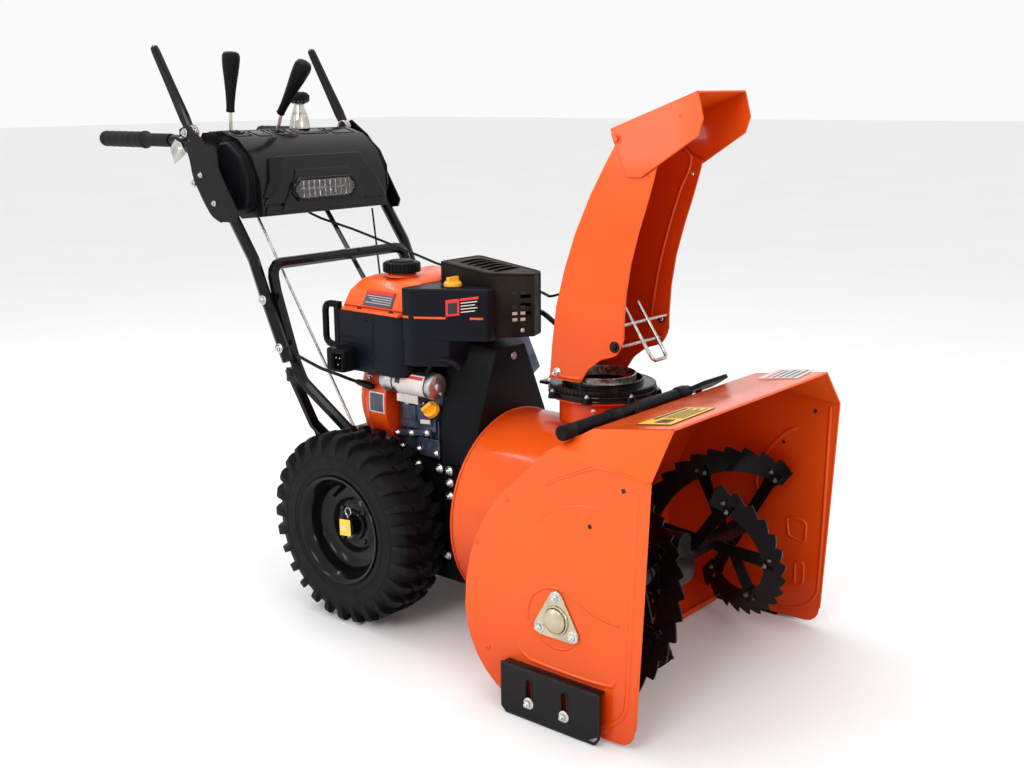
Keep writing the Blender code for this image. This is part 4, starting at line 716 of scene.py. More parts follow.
# ------------------------------------------------------------------ augers
def detailed_auger(side, word):
    """Two ratchet-toothed ribbons half a turn apart on a sleeve, with flat arms and their bolts."""
    mesh = bmesh.new()
    start_x, end_x, sweep_angle = 0.072, 0.312, 195.0
    lathe(mesh, [(0.0132, 0.062), (0.0175, 0.062), (0.0186, 0.066), (0.0186, 0.08), (0.0175, 0.084), (0.0175, 0.305),
                 (0.0186, 0.309), (0.0186, 0.323), (0.0175, 0.327), (0.0132, 0.327)], at(0, 0, SHAFT_Z),
          (side, 0, 0), 30)
    first = 64 if side < 0 else 114
    teeth, per = 17, 8
    for turn in (first, first + 180):
        sections = []
        for step in range(teeth * per + 1):
            share = step / (teeth * per)
            phase = (step % per) / per
            outer = 0.1765 - 0.015 * (phase if side > 0 else 1 - phase) ** 1.15
            if step in (0, teeth * per):
                outer = 0.164
            elif side < 0 and step % per == 0:
                outer = 0.1765
            angle = math.radians(turn + sweep_angle * share)
            x = side * (start_x + (end_x - start_x) * share)
            sections.append([at(x + shift, 0, SHAFT_Z) + spoke("X", radius, angle)
                             for radius, shift in ((0.124, -0.0021), (0.15, -0.0021), (outer, -0.0018), (outer, 0.0018),
                    (0.15, 0.0021), (0.124, 0.0021))])
        loft(mesh, sections)
        for share in (0.06, 0.36, 0.66, 0.95):
            angle = math.radians(turn + sweep_angle * share)
            x = side * (start_x + (end_x - start_x) * share)
            out, over = spoke("X", 1, angle), spoke("X", 1, angle + math.pi / 2)
            middle = at(x, 0, SHAFT_Z)
            lean = side * 0.0045
            sections = []
            for radius, half, shift in ((0.015, 0.009, 0.0), (0.026, 0.0115, 0.0), (0.112, 0.0125, 0.0),
                    (0.124, 0.016, lean), (0.147, 0.016, lean)):
                centre = middle + out * radius + Vector((shift, 0, 0))
                sections.append([centre + over * a * half + Vector((b * 0.0024, 0, 0)) for a, b in CORNERS])
            loft(mesh, sections)
            for radius in (0.131, 0.141):
                spot = middle + out * radius + over * (0.008 if radius < 0.135 else -0.008)
                for step, facing, shank, finish in ((0.007, side, 0.0, "auger_paint"),
                        (-0.0021, -side, 0.004, "worn_steel")):
                    hex_bolt("augers", spot + Vector((side * step, 0, 0)), (facing, 0, 0), 0.01, 0.0045, False,
                             shank, finish)
    obj = new_piece("auger_detail_" + word, mesh, "auger_paint", "augers", 30)
    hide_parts("auger_" + word)
    hex_bolt("augers", at(side * 0.0735, 0.0185, SHAFT_Z), BACK, 0.011, 0.006, False, 0.004)


def gearbox_details():
    """Bolts round the gear case and the collars the shaft comes out of."""
    for side, _ in SIDES:
        middle = at(side * 0.0302, 0, SHAFT_Z)
        for k in range(6):
            hex_bolt("machine", middle + spoke("X", 0.0425, math.radians(60 * k + 15)), (side, 0, 0), 0.008, 0.004,
                     False, 0.0, "worn_steel")
        lathe(pool("machine", "auger_paint"), [(0.0228, 0.03), (0.027, 0.03), (0.027, 0.034), (0.0245, 0.04),
                (0.0228, 0.04)], at(0, 0, SHAFT_Z), (side, 0, 0), 28)


# ------------------------------------------------------------------ outlet, chute and deflector
CHUTE = (0.06, 0.191)                     # the middle the chute turns round, as x and distance behind
CHUTE_HALF, HOOD_HALF = 0.078, 0.0825


def chute_details():
    """The chute's wire guard, creases, rolled edges, foot bands and bolts."""
    right, left = CHUTE[0] - CHUTE_HALF, CHUTE[0] + CHUTE_HALF
    # the silver wire guard, a sleeve over the wires of the frame
    mesh = bmesh.new()
    for y, z in ((0.1045, 0.611), (0.0925, 0.655)):
        sweep(mesh, [at(right + 0.003, y, z), at(left - 0.003, y, z)], 0.00335, 14)
    hoop = [(0.016, 0.1125, 0.688), (0.016, 0.053, 0.6025), (0.0175, 0.0462, 0.5925), (0.023, 0.043, 0.588),
            (0.057, 0.043, 0.588), (0.0625, 0.0462, 0.5925), (0.064, 0.053, 0.6025), (0.064, 0.1125, 0.688)]
    sweep(mesh, [at(*p) for p in hoop], 0.0034, 14)
    new_piece("guard_wires", mesh, "bright_wire", "chute", 50)

    # the crease pressed down each side, seen bright on the far inner wall
    mesh = bmesh.new()
    line = ((0.062, 0.978), (0.046, 0.961), (0.05, 0.935), (0.068, 0.898), (0.096, 0.812), (0.112, 0.75),
            (0.121, 0.703), (0.13, 0.64), (0.1325, 0.612))
    for x, normal in ((left - INSIDE, (-1, 0, 0)), (right + INSIDE, (1, 0, 0))):
        bead(mesh, curve_through(at_x(x, line), 6), normal, 0.0075, 0.0024)
    new_piece("chute_creases", mesh, "orange_paint", "chute", 50)

    # rolled front edges of the sides
    mesh = bmesh.new()
    front = [(0.0225, 0.944), (0.038, 0.891), (0.058, 0.8305), (0.0743, 0.7725), (0.0843, 0.7135), (0.0877, 0.66),
             (0.088, 0.63)]
    foot = [(0.0895, 0.622), (0.103, 0.599), (0.121, 0.5905), (0.14, 0.584), (0.156, 0.5725), (0.17, 0.561),
            (0.1885, 0.534)]
    for x in (right + 0.0012, left - 0.0012):
        sweep(mesh, curve_through([at(x, y + 0.0006, z) for y, z in front], 3), 0.0017, 8)
        sweep(mesh, curve_through(at_x(x, foot), 3), 0.0016, 8)
    new_piece("chute_hems", mesh, "orange_paint", "chute", 60)

    # the flared foot of the chute where it is bolted round the collar
    mesh = bmesh.new()
    for side, x in ((RIGHT, right), (LEFT, left)):
        bead(mesh, [at(x + side * 0.0002, y, 0.5385) for y in (0.19, 0.205, 0.225, 0.245, 0.262)], (side, 0, 0),
             0.01, 0.003)
    new_piece("chute_foot_bands", mesh, "orange_paint", "chute", 50)

    for side, x in ((RIGHT, right), (LEFT, left)):
        out = (side, 0, 0)
        hex_bolt("chute", at(x, 0.108, 0.612), out, 0.013, 0.0055, True, 0.003, "black_gloss")
        dome_screw("chute", at(x + side * 0.007, 0.108, 0.612), out, 0.0035, "zinc", 0.0018)
        dome_screw("chute", at(x, 0.0355, 0.933), out, 0.0034, "orange_paint", 0.0012)
        hex_bolt("chute", at(x, 0.246, 0.545), out, 0.012, 0.006, True, 0.006)
        disc(pool("chute", "black_gloss"), 0.008, -0.0002, 0.0014, at(x - side * INSIDE, 0.1045, 0.645),
             (-side, 0, 0), 20)
        dome_screw("chute", at(x - side * INSIDE, 0.0415, 0.93), (-side, 0, 0), 0.0042, "zinc", 0.0014)
        dome_screw("chute", at(x - side * INSIDE, 0.1035, 0.6433), (-side, 0, 0), 0.0045, "zinc", 0.0024)


def deflector_details():
    """Rolled edges and the two bolts on each cheek."""
    half = HOOD_HALF
    mesh = bmesh.new()
    cheek = [(0.1165, 1.008), (0.1103, 0.993), (0.083, 0.9365), (0.076, 0.9318), (0.052, 0.9318), (0.02, 0.952),
             (-0.066, 1.0078), (-0.0752, 1.036), (-0.064, 1.079)]
    for side, _ in SIDES:
        x = CHUTE[0] + side * (half - 0.0012)
        sweep(mesh, at_x(x, cheek), 0.0016, 8)
        sweep(mesh, at_x(CHUTE[0] + side * (half - 0.0016), ((0.1165, 1.016), (-0.0625, 1.0812))), 0.0018, 8)
    for y, z in ((-0.0632, 1.0812), (0.1183, 1.015)):
        sweep(mesh, [at(CHUTE[0] - half + 0.002, y, z), at(CHUTE[0] + half - 0.002, y, z)], 0.0017, 8)
    new_piece("deflector_hems", mesh, "orange_paint", "deflector", 60)
    for side, _ in SIDES:
        out = (side, 0, 0)
        hex_bolt("deflector", at(CHUTE[0] + side * half, 0.104, 0.9985), out, 0.0105, 0.0045, True, 0.0, "orange_paint")
        dome_screw("deflector", at(CHUTE[0] + side * half, -0.03, 1.04), out, 0.0032, "orange_paint", 0.0009)


def outlet_details():
    """Weld seams and flange of the neck, the black ring's lugs and the crank gear's bracket."""
    mesh = bmesh.new()
    centre = at(*CHUTE, 0)
    for radius, z, size in ((0.1028, 0.497, 0.0024), (0.0872, 0.4905, 0.0022)):
        ring_bar(mesh, centre + Vector((0, 0, z)), radius, "Z", 56, size)
    ring_bar(mesh, at(0, 0.3665, 0.247), 0.2015, "Y", 80, 0.003, 10)
    new_piece("outlet_seams", mesh, "orange_paint", "machine", 60)

    mesh = bmesh.new()
    for z in (0.5105, 0.5025):
        ring_bar(mesh, centre + Vector((0, 0, z)), 0.1068, "Z", 56, 0.0022)
    for angle in (200, 245, 290, 335, 20, 155):
        a = math.radians(angle)
        lathe(mesh, [(0.0, -0.001), (0.0105, -0.001), (0.0105, 0.0015), (0.0085, 0.0115), (0.0, 0.0115)],
              centre + spoke("Z", 0.1105, a) + Vector((0, 0, 0.5004)), UP, 16)
        hex_bolt("machine", centre + spoke("Z", 0.112, a) + Vector((0, 0, 0.5116)), UP, 0.0085, 0.0035, False, 0.002)
    new_piece("base_ring_lugs", mesh, "black_gloss", "machine", 40)

    for z in (0.52, 0.536):
        hex_bolt("machine", at(0.1785, 0.2495, z), (-1, 0, 0), 0.0085, 0.0035, True, 0.0)
        hex_bolt("machine", at(0.1865, 0.2248, z), FRONT, 0.0085, 0.0035, True, 0.002)
    hex_bolt("machine", at(0.046, 0.312, 0.5085), UP, 0.011, 0.005)
    hex_bolt("machine", at(-0.0385, 0.142, 0.486), (-0.85, -0.52, 0), 0.0095, 0.0045, False, 0.004)

    # worm gear housing on the crank shaft's end
    mesh = bmesh.new()
    lathe(mesh, [(0.0, 0.0), (0.0125, 0.0), (0.014, 0.002), (0.014, 0.026), (0.0125, 0.028), (0.0, 0.028)],
          at(0.1865, 0.268, 0.5325), BACK, 24)
    new_piece("crank_gear_case", mesh, "black_gloss", "machine", 40)

    mesh = bmesh.new()
    teeth = 72
    outline = [spoke("Z", 0.1058 if k % 2 else 0.1036, math.pi * (k + end) / teeth) for k in range(teeth * 2)
               for end in (-0.32, 0.32)]
    inside = [p.normalized() * 0.1 for p in outline]
    low, high, top_in, low_in = ([mesh.verts.new(centre + p + Vector((0, 0, z))) for p in points]
            for points, z in ((outline, 0.514), (outline, 0.5208), (inside, 0.5224), (inside, 0.5135)))
    join_rings(mesh, [low, high, top_in, low_in, low])
    new_piece("ring_gear", mesh, "black_gloss", "chute", 30)

    # bright spun collar that the snow leaves through, seen in the notch under the chute
    mesh = bmesh.new()
    lathe(mesh, [(0.064, 0.5205), (0.07, 0.5212), (0.0675, 0.5235), (0.0662, 0.526), (0.0662, 0.5375), (0.0668, 0.5395),
                 (0.0655, 0.5405), (0.064, 0.5395), (0.064, 0.5205)], centre, UP, 72)
    new_piece("outlet_collar", mesh, "bright_wire", "chute", 40)
    mesh = bmesh.new()
    lathe(mesh, [(0.101, 0.5214), (0.07, 0.5214), (0.07, 0.5206), (0.101, 0.5206), (0.101, 0.5214)], centre, UP, 72)
    new_piece("collar_plate", mesh, "black_gloss", "chute", 40)


def clean_out_details():
    """Rubber sleeves, ribs and the tool's two clips."""
    y, z = 0.0, 0.5265
    mesh = bmesh.new()
    for start, end in ((-0.322, -0.292), (-0.19, -0.16), (0.03, 0.06)):
        lathe(mesh, [(0.0116, start), (0.0134, start + 0.001), (0.014, start + 0.004), (0.014, end - 0.006),
                     (0.0128, end)], at(0, y, z), (1, 0, 0), 28)
    for k in range(14):
        x = -0.284 + 0.0062 * k
        lathe(mesh, [(0.0114, x), (0.0124, x + 0.0012), (0.0124, x + 0.0026), (0.0114, x + 0.0038)], at(0, y, z),
              (1, 0, 0), 24)
    sweep(mesh, [at(-0.3222, y, z), at(-0.3205, y, z)], 0.0118, 24)
    new_piece("tool_sleeves", mesh, "black_plastic", "clean_out_tool", 40)

    mesh = bmesh.new()
    for x in (-0.12, 0.085):
        centre = at(x, y, z)
        for side, _ in SIDES:
            steps = [spoke("X", 1, math.radians(-90 - side * 14 * k)) for k in range(8)]
            loft(mesh, [[centre + out * (0.0158 + t * 0.0011) + Vector((s * 0.01, 0, 0)) for s, t in CORNERS]
                        for out in steps])
    new_piece("tool_clips", mesh, "black_gloss", "machine", 50)


# ------------------------------------------------------------------ wheels
WHEEL = (0.628, 0.202)
WHEEL_X = 0.208
TREAD_RADIUS, LUGS = 0.196, 28


def tyre(side, word):
    """A carcass with raised shoulders and a snow tread of shoulder lugs and chevrons."""
    mesh = bmesh.new()
    place = at(side * WHEEL_X, *WHEEL)
    half = [(0.1075, 0.047), (0.1125, 0.0505), (0.115, 0.056), (0.121, 0.0592), (0.126, 0.0598), (0.129, 0.0606),
            (0.132, 0.0603), (0.148, 0.0608), (0.164, 0.06), (0.174, 0.0575), (0.1815, 0.053), (0.1865, 0.046),
            (0.189, 0.036), (0.1898, 0.02), (0.19, 0.0)]
    profile = half + [(r, -t) for r, t in reversed(half[:-1])]
    axis = Vector((side, 0, 0))
    turned_band(mesh, profile, place, side, 112)

    def spot(radius, across, along, angle):
        """A point at this radius, this far across from the middle, and this far along the tread."""
        turn = angle + along / TREAD_RADIUS
        return place + axis * across + spoke("X", radius, turn)

    for number in range(LUGS):
        angle = 2 * math.pi * number / LUGS
        for flank in (1, -1):
            shift = angle + (0 if flank > 0 else math.pi / LUGS)
            wide = 1.0 if number % 2 else 0.8
            # over the shoulder: radii of foot and top, across at foot and top, along, half width
            path = ((0.161, 0.1625, 0.059, 0.0612, 0.0, 0.0062), (0.17, 0.174, 0.0575, 0.0622, 0.0, 0.008),
                    (0.178, 0.188, 0.053, 0.0612, 0.001, 0.0092), (0.184, 0.1975, 0.048, 0.0555, 0.002, 0.01),
                    (0.185, 0.2017, 0.042, 0.046, 0.004, 0.0102), (0.186, 0.2025, 0.034, 0.034, 0.008, 0.0094),
                    (0.1865, 0.2025, 0.025, 0.0262, 0.012, 0.0078))
            sections = []
            for foot, top, low_x, high_x, along, half_width in path:
                w = half_width * wide
                sections.append([spot(foot, flank * low_x, along - w * 1.15, shift),
                                 spot(top, flank * high_x, along - w * 0.88, shift),
                                 spot(top, flank * high_x, along + w * 0.88, shift),
                                 spot(foot, flank * low_x, along + w * 1.15, shift)])
            loft(mesh, sections)
        # the arrow block in the middle, with a nick in its nose and two small fins behind
        turn = angle + math.pi / (2 * LUGS)
        outline = [(-0.0225, -0.0085), (-0.0165, -0.0115), (-0.0075, -0.002), (-0.003, -0.0045), (0.003, -0.0045),
                   (0.0075, -0.002), (0.0165, -0.0115), (0.0225, -0.0085), (0.018, 0.0035), (0.0105, 0.01),
                   (0.0045, 0.0062), (0.0, 0.0105), (-0.0045, 0.0062), (-0.0105, 0.01), (-0.018, 0.0035)]
        low = [spot(0.188, x * 1.08, s * 1.1, turn) for x, s in outline]
        high = [spot(0.2022, x * 0.94, s * 0.93, turn) for x, s in outline]
        loft(mesh, [low, high])
    # moulded rings on the wall
    for radius, level, size in ((0.13, 0.0604, 0.0012), (0.156, 0.0604, 0.0009)):
        for flank in (1, -1):
            ring_bar(mesh, place + axis * level * flank, radius, "X", 96, size, 6)
    obj = new_piece("tyre_detail_" + word, mesh, "tyre_rubber", "wheels", 32)
    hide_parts("tyre_" + word)


def rim(side, word):
    """A deep stepped steel dish, replacing the plain one."""
    mesh = bmesh.new()
    place, axis = at(side * WHEEL_X, *WHEEL), (side, 0, 0)
    outer = [(0.1135, 0.0565), (0.115, 0.059), (0.114, 0.0608), (0.111, 0.0604), (0.106, 0.056), (0.103, 0.049),
             (0.0995, 0.045), (0.0965, 0.037), (0.095, 0.023), (0.0925, 0.0165), (0.086, 0.012), (0.07, 0.0085),
             (0.06, 0.007), (0.056, 0.0088), (0.052, 0.012), (0.038, 0.0125), (0.033, 0.011), (0.029, 0.0075),
             (0.024, 0.0065), (0.0205, 0.0085), (0.02, 0.033), (0.0185, 0.0345), (0.0108, 0.0345)]
    inner = [(0.0108, -0.04), (0.024, -0.04), (0.024, 0.0012), (0.056, 0.0042), (0.086, 0.0066), (0.0935, 0.01),
             (0.0985, 0.005), (0.1, -0.04), (0.1065, -0.056), (0.111, -0.059), (0.114, -0.058), (0.1135, -0.056),
             (0.1075, -0.05), (0.106, -0.038), (0.106, 0.038), (0.1075, 0.05)]
    turned_band(mesh, outer + inner, place, side, 72)
    obj = new_piece("rim_detail_" + word, mesh, "black_gloss", "wheels", 40)
    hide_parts("rim_" + word)

    def out(distance):
        return place + Vector((side * distance, 0, 0))
    for k in range(4):
        hex_bolt("wheels", out(0.0118) + spoke("X", 0.044, math.radians(45 + 90 * k)), axis, 0.011, 0.005, False, 0.0,
                 "black_gloss")
    # valve, washer on the axle's end, pin and blank tag
    a = math.radians(62)
    spot = out(0.01) + spoke("X", 0.08, a)
    lathe(pool("wheels", "cable_jacket"), [(0.0, 0.0), (0.0052, 0.0), (0.0045, 0.01), (0.0034, 0.014), (0.0034, 0.022),
            (0.0041, 0.0225), (0.0041, 0.03), (0.0, 0.031)], spot, (side * 0.9, -0.35 * math.cos(a),
            -0.35 * math.sin(a)), 14)
    lathe(pool("wheels", "worn_steel"), [(0.0, 0.03), (0.0098, 0.0302), (0.01, 0.033), (0.0088, 0.0345), (0.0, 0.0345)],
          place, axis, 24)
    lathe(pool("wheels", "zinc"), [(0.0108, 0.0347), (0.015, 0.0347), (0.015, 0.0362), (0.0108, 0.0362)], place,
          axis, 24)
    sweep(pool("wheels", "zinc"), [out(0.027) + Vector((0, 0, z)) for z in (-0.0235, 0.0235)], 0.0028, 10)
    eye = out(0.027) + Vector((0, 0, 0.0325))
    sweep(pool("wheels", "zinc"), [eye + spoke("X", 0.0085, 2 * math.pi * k / 18 - math.pi / 2) for k in range(17)],
          0.0011, 6)
    if side < 0:
        tag = [out(0.0375) + Vector((0, y, z)) for y, z in ((0.015, 0.0165), (0.015, -0.0185), (-0.018, -0.015),
                (-0.0165, 0.02))]
        loft(pool("wheels", "label_yellow"), [tag, [p + Vector((side * 0.0008, 0, 0)) for p in tag]])
        disc(pool("wheels", "label_white"), 0.006, 0.0384, 0.0392, place, axis, 20)


# ------------------------------------------------------------------ chassis
CASE_SIDE, CASE_REAR = 0.1302, 0.8222      # faces of the drive case


def chassis_details():
    """Bolts, pressed ribs and axle bearings of the drive case, and its rear cover."""
    for side, word in SIDES:
        out = (side, 0, 0)
        for y, z in ((0.524, 0.333), (0.463, 0.3335), (0.4365, 0.3335), (0.435, 0.308), (0.4355, 0.28), (0.445, 0.1505),
                     (0.76, 0.142), (0.79, 0.325)):
            hex_bolt("machine", at(side * CASE_SIDE, y, z), out, 0.0115, 0.0055, True, 0.003)
        mesh = bmesh.new()
        for y0, z0, y1, z1 in ((0.4, 0.13, 0.4, 0.32), (0.545, 0.118, 0.78, 0.118)):
            bead(mesh, [at(side * 0.1301, y0 + (y1 - y0) * t / 6, z0 + (z1 - z0) * t / 6) for t in range(7)], out,
                 0.01, 0.0022)
        sweep(mesh, [at(side * 0.1292, 0.37, 0.1015), at(side * 0.1292, 0.818, 0.1015)], 0.0022, 8)
        # bearing housing of the wheel axle
        place = at(side * CASE_SIDE, *WHEEL)
        lathe(mesh, [(0.0112, 0.0), (0.03, 0.0), (0.03, 0.0022), (0.021, 0.0034), (0.0185, 0.009), (0.0112, 0.01)],
              place, out, 32)
        for k in range(3):
            spot = place + Vector((side * 0.0022, 0, 0)) + spoke("X", 0.0245, math.radians(90 + 120 * k))
            hex_bolt("machine", spot, out, 0.008, 0.004, False, 0.0)
        new_piece("chassis_ribs_" + word, mesh, "black_gloss", "machine", 45)
    # rear cover of the drive case with its screws
    mesh = bmesh.new()
    outline = [(side * x, z) for side, (x, z) in zip((-1, 1, 1, 1, 1, -1, -1, -1), (
        (0.112, 0.118), (0.112, 0.118), (0.118, 0.124), (0.118, 0.318), (0.112, 0.324), (0.112, 0.324), (0.118, 0.318),
        (0.118, 0.124)))]
    prism(mesh, outline, "Y", rear(0.8202), rear(CASE_REAR))
    for z in (0.15, 0.29):
        bead(mesh, [at(x, CASE_REAR, z) for x in (-0.08, -0.04, 0, 0.04, 0.08)], BACK, 0.012, 0.003)
    round_edges(new_piece("chassis_rear_cover", mesh, "black_gloss", "machine", 40), 0.0006, 2)
    for x in (-0.105, 0, 0.105):
        for z in (0.13, 0.312):
            hex_bolt("machine", at(x, CASE_REAR, z), BACK, 0.009, 0.004, False, 0.0)


# ------------------------------------------------------------------ engine
COVER_PLAN = [*arc((-0.16, rear(0.53)), 0.03, 180, 270, 8), *arc((0.07, rear(0.53)), 0.03, 270, 360, 8),
              *arc((0.088, rear(0.678)), 0.012, 0, 90, 4), *arc((-0.178, rear(0.678)), 0.012, 90, 180, 4)]


COVER_WALL, FLANGE_Z = -0.1901, 0.6533     # the shroud's right wall and the tank flange's middle
CHOKE = (-0.113, 0.432)
CAP = (-0.095, 0.59)
TANK_LEAN = 0.016 / 0.0327                 # how far the tank's side leans in for each metre up


def face_normal(a, b):
    """The way an upright face between two floor points looks, to the front and right."""
    normal = Vector((-(b - a).y, (b - a).x)).normalized()
    return -normal if normal.x > 0 or normal.y > 0 else normal


def engine_cover():
    """The black shroud: an open-bottomed moulded box, the hump at its front and the skirt below that."""
    mesh = bmesh.new()
    middle = Vector((-0.045, rear(0.595)))
    inner_plan = [((x - middle.x) * 0.975 + middle.x, (y - middle.y) * 0.965 + middle.y) for x, y in COVER_PLAN]
    rings = [[mesh.verts.new((x, y, z)) for x, y in plan] for plan, z in ((COVER_PLAN, 0.526), (COVER_PLAN, 0.65),
            (inner_plan, 0.6465), (inner_plan, 0.526))]
    for a, b in ((0, 1), (2, 3), (3, 0)):
        join_rings(mesh, [rings[a], rings[b]])
    mesh.faces.new(rings[1])
    mesh.faces.new(rings[2])
    obj = round_edges(new_piece("cover_shell", mesh, "cover_plastic", "machine", 40), 0.0028, 3, 50)
    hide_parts("engine_cover")

    mesh = bmesh.new()
    plan = [(-0.1835, rear(0.5062)), (-0.1835, rear(0.497)), *arc((-0.164, rear(0.485)), 0.0195, 180, 210, 3),
            *arc((-0.0985, rear(0.361)), 0.0125, 210, 285, 4), (-0.0768, rear(0.352)), (-0.0768, rear(0.4985)),
            (0.096, rear(0.4985)), (0.096, rear(0.5062))]
    prism(mesh, plan, "Z", 0.606, 0.71)
    round_edges(new_piece("cover_hump", mesh, "cover_plastic", "machine", 40), 0.0085, 5, 50)
    mesh = bmesh.new()
    prism(mesh, [(-0.1838, rear(0.5035)), *arc((-0.164, rear(0.485)), 0.0198, 180, 210, 3), *arc((-0.1385, rear(0.426)),
            0.009, 210, 290, 4), (-0.08, rear(0.42)), (-0.08, rear(0.5035))], "Z", 0.554, 0.64)
    round_edges(new_piece("cover_skirt", mesh, "cover_plastic", "machine", 40), 0.0022, 4, 50)

    # a step round the hump's top where the choke knob sits, and the lip that frames it
    mesh = bmesh.new()
    ring_bar(mesh, at(*CHOKE, 0.7102), 0.0225, "Z", 40, 0.0022)
    disc(mesh, 0.0208, 0.0, 0.0004, at(*CHOKE, 0.7098), UP, 32)
    # ribs and the moulding seam on the right wall
    for z in (0.596, 0.584):
        bead(mesh, [at(COVER_WALL, y, z) for y in (0.64, 0.65, 0.66, 0.67, 0.678)], (-1, 0, 0), 0.004, 0.0014)
    bead(mesh, [at(COVER_WALL, 0.58 + 0.0012 * k, 0.64 - 0.012 * k) for k in range(9)], (-1, 0, 0), 0.005, 0.0013)
    bead(mesh, [at(x, 0.4999, 0.6) for x in (-0.05, -0.02, 0.01, 0.04, 0.06)], FRONT, 0.006, 0.0016)
    for y in (0.52, 0.56, 0.6, 0.64):
        bead(mesh, [at(0.1001, y, z) for z in (0.545, 0.56, 0.58, 0.6, 0.615)], (1, 0, 0), 0.008, 0.0018)
    for x in (-0.15, -0.125, 0.06, 0.08):
        bead(mesh, [at(x, 0.6901, z) for z in (0.585, 0.597, 0.609, 0.621, 0.632)], BACK, 0.006, 0.0016)
    new_piece("cover_ribs", mesh, "cover_plastic", "machine", 45)
    for y, z in ((0.6034, 0.6344), (0.5764, 0.6338), (0.5917, 0.5433), (0.5859, 0.5585)):
        dome_screw("machine", at(COVER_WALL - 0.0001, y, z), (-1, 0, 0), 0.0034, "black_gloss", 0.0022)

    # thin orange edge of the tank's flange running on round the hump's foot
    mesh = bmesh.new()
    a, b = Vector((-0.1809, rear(0.4752))), Vector((-0.1093, rear(0.3548)))
    out = face_normal(a, b)
    for start, end in ((0.0, 0.46), (0.8, 0.99)):
        line = [a.lerp(b, start + (end - start) * t / 8) for t in range(9)]
        bead(mesh, [(p.x + out.x * 0.0006, p.y + out.y * 0.0006, 0.6525) for p in line], (out.x, out.y, 0),
             0.005, 0.0016)
    bead(mesh, [at(-0.1838, y, 0.6525) for y in (0.487, 0.493, 0.499, 0.505)], (-1, 0, 0), 0.005, 0.0014)
    new_piece("flange_line", mesh, "orange_plastic", "machine", 50)

    # blank stickers
    side = [Vector((*(a.lerp(b, share) + out * 0.0012), z)) for share, z in ((0.93, 0.6975), (0.46, 0.6885),
            (0.46, 0.656), (0.93, 0.664))]
    red = [side[0].lerp(side[1], 0.58), side[1], side[2], side[3].lerp(side[2], 0.58)]
    patch("machine", "label_red", red, 0.0004)
    stripe("machine", "label_black", red, 0.22, 0.88, 0.16, 0.84, 0.0009)
    stripe("machine", "label_red", side, 0.0, 0.16, 0.0, 0.56, 0.0004)
    for row in range(4):
        low = 0.26 + 0.18 * row
        stripe("machine", "label_white", side, low, low + 0.06, 0.04 + 0.07 * (row % 2), 0.54, 0.0004)
    tank_side = [at(-0.1766 + (z - FLANGE_Z) * TANK_LEAN, y, z) for y, z in ((0.545, 0.6905), (0.626, 0.6915),
            (0.628, 0.6625), (0.545, 0.6615))]
    patch("machine", "label_slate", tank_side, 0.0005)
    stripe("machine", "label_red", tank_side, 0.02, 0.24, 0.03, 0.97, 0.001)
    for row in range(4):
        low = 0.34 + 0.15 * row
        stripe("machine", "label_white", tank_side, low, low + 0.035, 0.06, 0.94 - 0.1 * (row % 3), 0.001)


def tank_details():
    """The tank's flange with its screws, the filler's collar and the ribs of the fuel cap."""
    mesh = bmesh.new()
    edge = [(-0.1925, 0.5075), (-0.1925, 0.668), (-0.151, 0.7005), (0.1025, 0.7005), (0.1025, 0.5085)]
    sweep(mesh, [at(x, y, FLANGE_Z) for x, y in edge], 0.0031, 10)
    lathe(mesh, [(0.0245, 0.0), (0.033, 0.0), (0.031, 0.005), (0.0268, 0.009), (0.0255, 0.0115), (0.0245, 0.0115)],
          at(*CAP, 0.7155), UP, 36)
    new_piece("tank_edges", mesh, "orange_plastic", "machine", 50)
    for y in (0.6246, 0.534):
        dome_screw("machine", at(-0.186, y, 0.6568), UP, 0.0052, "black_gloss", 0.003)
    for x in (-0.12, -0.02, 0.07):
        dome_screw("machine", at(x, 0.6945, 0.6568), UP, 0.0048, "zinc", 0.0028)
    mesh = pool("fuel_cap", "black_plastic")
    top = at(*CAP, 0.73)
    for k in range(30):
        a = 2 * math.pi * k / 30
        out, across = spoke("Z", 1, a), spoke("Z", 1, a + math.pi / 2)
        sections = []
        for z, reach in ((-0.004, 0.038), (0.0115, 0.038), (0.0145, 0.0362)):
            centre = top + out * reach + Vector((0, 0, z))
            sections.append([centre + across * 0.0019 + out * 0.0008, centre - across * 0.0019 + out * 0.0008,
                             centre - across * 0.0019 - out * 0.0022, centre + across * 0.0019 - out * 0.0022])
        loft(mesh, sections)
    lathe(mesh, [(0.0, 0.016), (0.024, 0.016), (0.026, 0.0178), (0.0235, 0.019), (0.0, 0.0185)], top, UP, 36)


GUARD_FRONT, GUARD_RISE = (0.309, 0.73), 0.111


